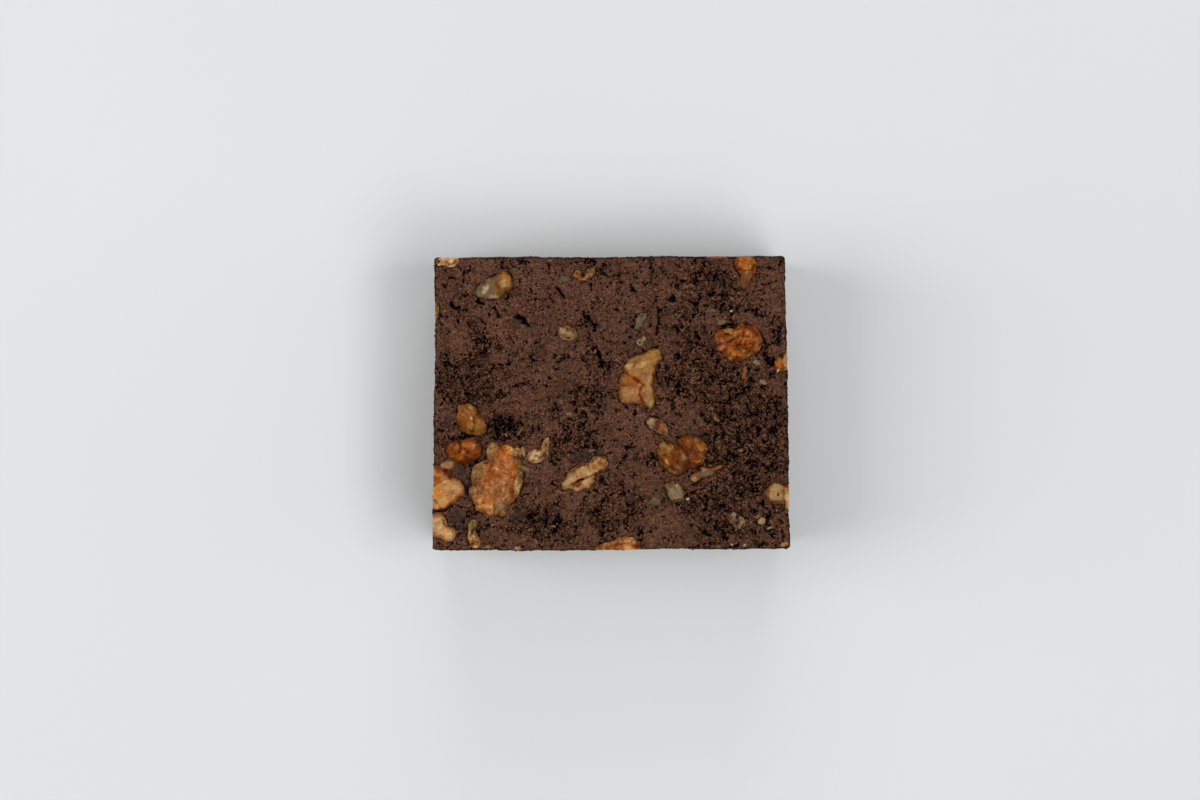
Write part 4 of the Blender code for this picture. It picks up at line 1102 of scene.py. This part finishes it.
def one_chip(chip, which):
    """A jagged chip of nut, shaped from a ball and laid on the crumb."""
    nothing_selected()
    bpy.ops.mesh.primitive_ico_sphere_add(subdivisions=3, radius=0.5)
    piece = bpy.context.object
    thick = CHIP_THICKNESS * min(chip.length, chip.width) + LEAST_THICKNESS
    spots = spots_of(piece.data)
    out = spots / np.linalg.norm(spots, axis=1)[:, None]
    jag = 1
    for height, size, seed in CHIP_JAGS:
        jag = jag + height * field(out, size, seed + which)
    spots = np.sign(spots) * np.abs(spots) ** BLUNTNESS * jag[:, None]
    spots = spots * (chip.length, chip.width, thick)
    spots = spots @ np.array(Matrix.Rotation(math.radians(chip.turn), 3, "Z")).T
    x, y = chip.x * MM, chip.y * MM
    level = uneven(Vector((x, y, HEIGHT))).z - CHIP_SINK * MM * thick
    put_spots(piece.data, spots * MM + (x, y, level))
    paint = np.tile(tint(*chip.colour), (len(spots), 1))
    tanned = 0.5 * ramp(field(spots, 0.5, 80), 0, 0.5)
    put_colours(piece.data, "nut_colour", mixed(paint, tint(*TAN), tanned))
    torn = field(spots, 0.6, 81 + which)
    put_values(piece.data, "smear", ramp(-spots[:, 2] / thick + 0.5 * torn, -0.15, 0.35))
    return piece


def chips(looks):
    """Every small chip and flake of nut, joined to one piece."""
    made = [one_chip(chip, which) for which, chip in enumerate(starmap(Chip, CHIPS))]
    nothing_selected()
    for piece in made:
        piece.select_set(True)
    bpy.context.view_layer.objects.active = made[0]
    bpy.ops.object.join()
    joined = bpy.context.object
    joined.name = "nut_chips"
    bpy.ops.object.shade_smooth()
    dressed(joined, looks["walnut_flesh"])


def crumb_shape():
    """The spots and faces of one plain crumb a unit in radius."""
    nothing_selected()
    bpy.ops.mesh.primitive_ico_sphere_add(subdivisions=1, radius=1)
    thing = bpy.context.object
    spots = spots_of(thing.data)
    faces = np.array([face.vertices for face in thing.data.polygons])
    bpy.data.objects.remove(thing)
    return spots, faces


def landing_places(block, rng, count, wanted):
    """Random places on the block, more where `wanted` is high, and the way each one faces."""
    mesh = block.data
    corners = threes_of(mesh.polygons, "vertices", int)
    share = numbers_of(mesh.polygons, "area") * wanted[corners].mean(axis=1)
    chosen = corners[rng.choice(len(corners), size=count, p=share / share.sum())]
    a, b = rng.random((2, count, 1))
    flip = a + b > 1
    a, b = np.where(flip, 1 - a, a), np.where(flip, 1 - b, b)
    spots, out = spots_of(mesh)[chosen], directions_of(mesh)[chosen]
    return (spots[:, 0] * (1 - a - b) + spots[:, 1] * a + spots[:, 2] * b), out.mean(axis=1)


def loose_crumbs(name, block, crumbs, wanted, looks):
    """A joined mesh of many small crumbs that lie on the block, half sunk in it."""
    seed, count, least, largest = crumbs
    rng = np.random.default_rng(seed)
    places, out = landing_places(block, rng, count, wanted)
    shape, faces = crumb_shape()
    radius = rng.triangular(least, least * 1.15, largest, count) * MM
    squash = rng.uniform(*SQUASH, (count, 1, 3))
    jag = rng.uniform(*JAG, (count, len(shape), 1))
    angles, axes = rng.uniform(0, math.tau, count), rng.normal(size=(count, 3))
    turns = [Matrix.Rotation(angle, 3, Vector(axis)) for angle, axis in zip(angles, axes)]
    spots = np.einsum("nij,nkj->nki", np.array(turns), shape[None] * squash * jag)
    spots = spots * radius[:, None, None]
    spots += (places + out * (radius * rng.uniform(*SINK, count))[:, None])[:, None]
    spots[:, :, 2] = np.maximum(spots[:, :, 2], 0)
    all_faces = faces[None] + (np.arange(count) * len(shape))[:, None, None]
    mesh = bpy.data.meshes.new(name)
    mesh.from_pydata(spots.reshape(-1, 3).tolist(), [], all_faces.reshape(-1, 3).tolist())
    thing = bpy.data.objects.new(name, mesh)
    bpy.context.scene.collection.objects.link(thing)
    put_values(mesh, "shade", np.repeat(rng.random(count), len(shape)))
    dressed(thing, looks[name])


def scattered(block, looks):
    """Loose crumbs over the open crumb, and round the nuts' rims, but hardly on the sides."""
    names = ("open_crumb", "hollow", "smooth", "side", "by_nut")
    open_crumb, hollow, smooth, side, by_nut = (values_of(block.data, name) for name in names)
    off_floor = spots_of(block.data)[:, 2] > 0.3 * MM
    bare = (by_nut > 0.05) * (1 - smooth) * off_floor * (1 - 0.97 * side)
    rim = ramp(-np.abs(by_nut - 0.3), -0.5, -0.1)
    rough = bare * (0.04 + open_crumb ** 1.5) * (1 - 0.75 * hollow)
    for name, crumbs, wanted in (
            ("brown_crumbs", BROWN_CRUMBS, rough + 0.5 * bare * rim),
            ("dark_crumbs", DARK_CRUMBS, rough * 0.8 + 0.12 * bare),
            ("rust_crumbs", RUST_CRUMBS, bare * open_crumb ** 2)):
        loose_crumbs(name, block, crumbs, wanted, looks)


# ---- finishes ----

CRUMB_GRAIN = 0.25 * MM
# Pinholes: their spacing in mm, how rare they are in smeared and in open crumb, and their width.
PINHOLES = ((0.6, 0.9, 0.35, 0.42), (1.25, 0.84, 0.45, 0.3))
FILM_BROWNS = (
    (0.0, (64, 41, 31)), (0.5, (88, 58, 45)), (0.9, (103, 71, 56)), (1.0, (120, 86, 68)))
LOOSE_BROWNS = (
    (0.0, (30, 19, 15)), (0.3, (62, 41, 31)), (0.6, (88, 59, 45)), (0.9, (112, 78, 60)),
    (1.0, (150, 106, 78)))
SMEARED_BROWNS = ((0.0, (30, 18, 14)), (0.6, (66, 42, 32)), (1.0, (92, 60, 44)))
COOL, WARM = (0.8, 0.95, 1.18), (1.26, 1.03, 0.74)
RUSTY_GRAIN = (112, 68, 44)
# a few greyer grains: partly the crumb's own colour, partly painted sheen
GREY_SHEEN_GRAIN = (64, 50, 44)
STAIN = (46, 40, 39)
# painted shade along the line where the rounded top edge turns into a side
EDGE_SHADE = (24, 17, 15)
MELTED_BROWN = (60, 46, 40)
# the near black painted into gaps, pinholes and hollows as shade
GAP_SHADE = (0.0014, 0.0009, 0.0008)
EDGE_SHADE_STRENGTH = 3.6  # how strongly painted shade darkens where the top turns over into a side
CRUMB_ROUGHNESS = 0.66
CHOCOLATE_ROUGHNESS = 0.5
LOOSE_ROUGHNESS = 0.7
CRUMB_GLOSS = 0.04
LOOSE_GLOSS = 0.05
WALNUT_GLOSS = 0.09
CRUMB_BUMP = (0.13 * MM, 0.75)  # distance and strength
LOOSE_BUMP = (0.05 * MM, 0.6)
WALNUT_BUMP = (0.18 * MM, 0.85)


def node(tree, kind, inputs=(), **settings):
    """Adds a shader node. Each input is a number or colour, or the socket that feeds it."""
    made = tree.nodes.new("ShaderNode" + kind)
    for name, value in settings.items():
        setattr(made, name, value)
    for name, value in dict(inputs).items():
        if isinstance(value, bpy.types.NodeSocket):
            tree.links.new(value, made.inputs[name])
        else:
            made.inputs[name].default_value = value
    return made


def new_material(name):
    material = bpy.data.materials.new(name)
    material.use_nodes = True
    tree = material.node_tree
    shader = tree.nodes["Principled BSDF"]
    place = node(tree, "TexCoord").outputs["Object"]
    return material, tree, shader, place


def read(tree, name, output="Fac"):
    """What put_values or put_colours stored."""
    return node(tree, "Attribute", attribute_name=name).outputs[output]


def cloud(tree, place, size, detail=2.0, roughness=0.5, output="Fac"):
    """Smooth noise, its swells about `size` apart."""
    inputs = {"Vector": place, "Scale": 1 / size, "Detail": detail, "Roughness": roughness}
    return node(tree, "TexNoise", inputs).outputs[output]


def grains(tree, place, size):
    """Cells about `size` across: three random numbers for each, and how far off its middle is."""
    cell = node(tree, "TexVoronoi", {"Vector": place, "Scale": 1 / size})
    chances = node(tree, "SeparateColor", {0: cell.outputs["Color"]})
    return list(chances.outputs), cell.outputs["Distance"]


def number(tree, operation, a, b=0.0, clamp=False):
    made = node(tree, "Math", {0: a, 1: b}, operation=operation, use_clamp=clamp)
    return made.outputs[0]


def plus(tree, a, b):
    return number(tree, "ADD", a, b)


def minus(tree, a, b):
    return number(tree, "SUBTRACT", a, b)


def times(tree, a, b, clamp=False):
    return number(tree, "MULTIPLY", a, b, clamp)


def larger(tree, a, b, clamp=False):
    return number(tree, "MAXIMUM", a, b, clamp)


def vector(tree, operation, a, b):
    return node(tree, "VectorMath", {0: a, 1: b}, operation=operation).outputs[0]


def spread(tree, value, low, high, to_low=0.0, to_high=1.0):
    """Maps low..high of a value smoothly to to_low..to_high."""
    ends = {"From Min": low, "From Max": high, "To Min": to_low, "To Max": to_high}
    inputs = {"Value": value, **ends}
    return node(tree, "MapRange", inputs, interpolation_type="SMOOTHSTEP").outputs[0]


def blend(tree, share, under, over, mode="MIX"):
    """Mixes two colours. Sockets 6 and 7 of a colour mix are its A and B."""
    made = node(tree, "Mix", {0: share}, data_type="RGBA", blend_type=mode)
    for socket, value in ((6, under), (7, over)):
        if isinstance(value, bpy.types.NodeSocket):
            tree.links.new(value, made.inputs[socket])
        else:
            made.inputs[socket].default_value = (*value, 1)
    return made.outputs[2]


def blend_value(tree, share, under, over):
    return node(tree, "Mix", {0: share, 2: under, 3: over}).outputs[0]


def shades(tree, value, stops):
    """A colour ramp through (place, colour) stops."""
    made = node(tree, "ValToRGB", {0: value})
    elements = made.color_ramp.elements
    while len(elements) < len(stops):
        elements.new(0.5)
    for element, (place, colour) in zip(elements, stops):
        element.position = place
        element.color = (*colour, 1)
    return made.outputs[0]


def browns(tree, value, stops):
    """The same, with colours as a paint chart gives them."""
    return shades(tree, value, [(place, tint(*colour)) for place, colour in stops])


def toned(tree, colour, value, *stops):
    """Multiplies a colour by a ramp through (place, shade) stops. A shade may be one number."""
    stops = [(place, shade if isinstance(shade, tuple) else (shade,) * 3) for place, shade in stops]
    return blend(tree, 1.0, colour, shades(tree, value, stops), "MULTIPLY")


def bent_place(tree, place, reach, size):
    """The place, drawn up to `reach` aside by noise, so that what is read there is bent."""
    pull = vector(tree, "SUBTRACT", cloud(tree, place, size, 1.0, output="Color"), (0.5,) * 3)
    return vector(tree, "ADD", place, vector(tree, "MULTIPLY", pull, (reach,) * 3))


def bumped(tree, shader, height, distance, strength):
    bump = node(tree, "Bump", {"Height": height, "Distance": distance, "Strength": strength})
    tree.links.new(bump.outputs[0], shader.inputs["Normal"])


def crumb_browns(tree, place, open_crumb, side, chances, fine):
    """The crumb's browns: each grain has its own, and stains, drifts, sides and painted shade change
    them.
    """
    hue, warm, odd = chances
    film, loose = browns(tree, hue, FILM_BROWNS), browns(tree, hue, LOOSE_BROWNS)
    brown = blend(tree, spread(tree, open_crumb, 0.12, 0.75), film, loose)
    brown = toned(tree, brown, warm, (0.0, COOL), (0.5, 1.0), (1.0, WARM))
    rusty = spread(tree, plus(tree, warm, times(tree, open_crumb, 0.12)), 0.98, 1.01)
    brown = blend(tree, rusty, brown, tint(*RUSTY_GRAIN))
    # a few greyer grains, more where it is open: partly own colour, partly painted sheen
    grey_sheen = spread(tree, plus(tree, odd, times(tree, open_crumb, 0.1)), 0.97, 1.0)
    brown = blend(tree, grey_sheen, brown, tint(*GREY_SHEEN_GRAIN))
    stain = spread(tree, cloud(tree, place, 1.7 * MM, 4.0, 0.65), 0.56, 0.7, 0.0, 0.62)
    brown = blend(tree, stain, brown, tint(*STAIN))
    brown = toned(tree, brown, cloud(tree, place, 5 * MM, 3.0), (0.3, 0.8), (0.7, 1.2))
    brown = toned(tree, brown, fine, (0.3, 0.62), (0.7, 1.48))
    drag = cloud(tree, vector(tree, "MULTIPLY", place, (1, 1, 0.15)), 0.6 * MM)
    moist = toned(tree, brown, drag, (0.3, (0.62, 0.58, 0.56)), (0.7, (0.98, 0.94, 0.92)))
    brown = blend(tree, side, brown, moist)
    # painted shade: a dark line along the rounded top edge
    edge_shade = times(tree, side, minus(tree, 1.0, side))
    return blend(tree, times(tree, edge_shade, EDGE_SHADE_STRENGTH, True), brown, tint(*EDGE_SHADE))


def pinholes(tree, place, open_crumb):
    """Small round holes, more of them where the crumb is open, later painted near black as shade."""
    holes = []
    bent = bent_place(tree, place, 0.5 * MM, 0.45 * MM)
    for size, fewest, most, widest in PINHOLES:
        (chance, width, _), off_middle = grains(tree, bent, size * MM)
        rarity = spread(tree, open_crumb, 0.0, 1.0, fewest, most)
        there = number(tree, "GREATER_THAN", chance, rarity)
        reach = times(tree, times(tree, there, widest), spread(tree, width, 0.0, 1.0, 0.5, 1.0))
        holes.append(spread(tree, minus(tree, reach, off_middle), -0.02, 0.03))
    return larger(tree, *holes)


def crumb_finish():
    """Cocoa crumb: a dull film with pinholes, or loose grains where it is open; gaps painted black as
    shade.
    """
    material, tree, shader, place = new_material("brownie_crumb")
    open_crumb, hollow, smooth, side = (
        read(tree, name) for name in ("open_crumb", "hollow", "smooth", "side"))
    chances, off_middle = grains(tree, place, CRUMB_GRAIN)
    fine = cloud(tree, place, 0.17 * MM, 1.0)
    brown = crumb_browns(tree, place, open_crumb, side, chances, fine)

    seam = cloud(tree, place, 0.46 * MM, 1.0)
    patchy = spread(tree, cloud(tree, place, 2.0 * MM), 0.3, 0.7, -0.05, 0.05)
    edge = plus(tree, spread(tree, open_crumb, 0.0, 1.1, 0.28, 0.42), patchy)
    split = spread(tree, minus(tree, edge, seam), -0.01, 0.035)
    gap = larger(tree, split, pinholes(tree, place, open_crumb))
    torn = plus(tree, hollow, spread(tree, seam, 0.3, 0.7, 0.28, -0.28))
    hollow = blend_value(tree, side, spread(tree, torn, 0.36, 0.62), times(tree, hollow, 0.85))
    # painted shade: gaps, pinholes and hollows turn near black, a little less on the sides
    dark = times(tree, gap, spread(tree, side, 0.0, 1.0, 0.97, 0.8))
    colour = blend(tree, larger(tree, dark, hollow, True), brown, GAP_SHADE)
    wavy = cloud(tree, place, 0.8 * MM, 1.0)
    chocolate = toned(tree, tint(*MELTED_BROWN), wavy, (0.35, 0.4), (0.6, 1.35))
    colour = blend(tree, times(tree, smooth, 0.7), colour, chocolate)
    tree.links.new(colour, shader.inputs["Base Color"])

    rough = spread(tree, smooth, 0.0, 1.0, CRUMB_ROUGHNESS, CHOCOLATE_ROUGHNESS)
    tree.links.new(rough, shader.inputs["Roughness"])
    shader.inputs["Specular IOR Level"].default_value = CRUMB_GLOSS
    height = minus(tree, fine, times(tree, off_middle, 0.8))
    bumped(tree, shader, minus(tree, height, times(tree, gap, 1.2)), *CRUMB_BUMP)
    return material


def loose_finish(name, darkest, lightest):
    """A small crumb: each has a shade of its own between the two, and a few are lighter."""
    material, tree, shader, place = new_material(name)
    darkest, lightest = tint(*darkest), tint(*lightest)
    stops = [(0.0, darkest), (0.8, lightest), (1.0, tuple(1.5 * c for c in lightest))]
    mottle = cloud(tree, place, 0.15 * MM)
    colour = toned(tree, shades(tree, read(tree, "shade"), stops), mottle, (0.3, 0.7), (0.7, 1.25))
    tree.links.new(colour, shader.inputs["Base Color"])
    shader.inputs["Roughness"].default_value = LOOSE_ROUGHNESS
    shader.inputs["Specular IOR Level"].default_value = LOOSE_GLOSS
    bumped(tree, shader, mottle, *LOOSE_BUMP)
    return material


def walnut_finish(name, roughness, soft, veins):
    """Walnut: waxy and a little translucent under its paint, with crumb smeared over it."""
    material, tree, shader, place = new_material(name)
    paint, smear = read(tree, "nut_colour", "Color"), read(tree, "smear")
    fibre = cloud(tree, place, 0.36 * MM, 4.0, 0.7)
    paint = toned(tree, paint, fibre, (0.3, (0.72, 0.69, 0.64)), (0.7, (1.26, 1.24, 1.2)))
    swirl = cloud(tree, bent_place(tree, place, 0.7 * MM, 0.5 * MM), 1.5 * MM, 3.0, 0.6)
    off_line = number(tree, "ABSOLUTE", minus(tree, swirl, 0.5))
    vein = spread(tree, off_line, 0.0, 0.028, veins, 0.0)
    paint = blend(tree, vein, paint, blend(tree, 1.0, paint, (0.5, 0.36, 0.22), "MULTIPLY"))
    (hue, _, _), off_middle = grains(tree, place, 0.34 * MM)
    crumb = browns(tree, hue, SMEARED_BROWNS)
    tree.links.new(blend(tree, smear, paint, crumb), shader.inputs["Base Color"])
    rough = spread(tree, smear, 0, 1, roughness, LOOSE_ROUGHNESS)
    tree.links.new(rough, shader.inputs["Roughness"])
    shader.inputs["Specular IOR Level"].default_value = WALNUT_GLOSS
    tree.links.new(spread(tree, smear, 0, 0.7, soft, 0), shader.inputs["Subsurface Weight"])
    shader.inputs["Subsurface Radius"].default_value = (1.0, 0.5, 0.22)
    shader.inputs["Subsurface Scale"].default_value = 0.6 * MM
    height = minus(tree, fibre, times(tree, smear, off_middle))
    bumped(tree, shader, minus(tree, height, times(tree, vein, 0.5)), *WALNUT_BUMP)
    return material


def finishes():
    return {
        "crumb": crumb_finish(),
        "brown_crumbs": loose_finish("brown_crumb", (56, 36, 27), (110, 74, 56)),
        "dark_crumbs": loose_finish("dark_crumb", (18, 12, 10), (60, 44, 36)),
        "rust_crumbs": loose_finish("rust_crumb", (84, 48, 31), (124, 76, 50)),
        "walnut_skin": walnut_finish("walnut_skin_finish", 0.3, 0.3, 0.75),
        "walnut_flesh": walnut_finish("walnut_flesh_finish", 0.4, 0.3, 0.3),
    }


# ---- the stage ----

def floor():
    """A plain pale floor with a hardly visible cloudiness."""
    nothing_selected()
    bpy.ops.mesh.primitive_plane_add(size=FLOOR_SIZE, location=(0, 0, 0))
    thing = bpy.context.object
    thing.name = "floor"
    material, tree, shader, place = new_material("pale_floor")
    stops = [(0.3, (0.765, 0.785, 0.795)), (0.7, (0.785, 0.805, 0.815))]
    colour = shades(tree, cloud(tree, place, 0.12), stops)
    tree.links.new(colour, shader.inputs["Base Color"])
    shader.inputs["Roughness"].default_value = 0.8
    shader.inputs["Specular IOR Level"].default_value = 0.1
    thing.data.materials.append(material)


def area_light(lamp):
    """A square soft light that faces the block."""
    nothing_selected()
    bpy.ops.object.light_add(type="AREA", location=lamp.spot)
    thing = bpy.context.object
    thing.name = lamp.name
    towards = Vector((0, 0, HEIGHT)) - Vector(lamp.spot)
    thing.rotation_euler = towards.to_track_quat("-Z", "Y").to_euler()
    thing.data.size = lamp.size
    thing.data.energy = lamp.power


def lights():
    """An even pale sky, and the lamps."""
    world = bpy.data.worlds.new("studio")
    bpy.context.scene.world = world
    world.use_nodes = True
    sky = world.node_tree.nodes["Background"]
    sky.inputs["Color"].default_value = (1, 1, 1, 1)
    sky.inputs["Strength"].default_value = SKY
    for lamp in starmap(Lamp, LAMPS):
        area_light(lamp)


def camera():
    """A camera that looks straight down."""
    bpy.ops.object.camera_add(location=CAMERA_SPOT, rotation=(0, 0, 0))
    thing = bpy.context.object
    thing.data.lens = LENS
    thing.data.clip_start = CLIP_START
    bpy.context.scene.camera = thing


def main():
    looks = finishes()
    nuts = [walnut(name, NUTS.get(name, SIDE_NUT), looks)
            for name in sorted(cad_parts) if name.startswith("walnut")]
    block = crumb_block(tree_of(nuts), looks)
    scattered(block, looks)
    chips(looks)
    floor()
    lights()
    camera()
    bpy.context.scene.view_settings.view_transform = "Standard"


main()
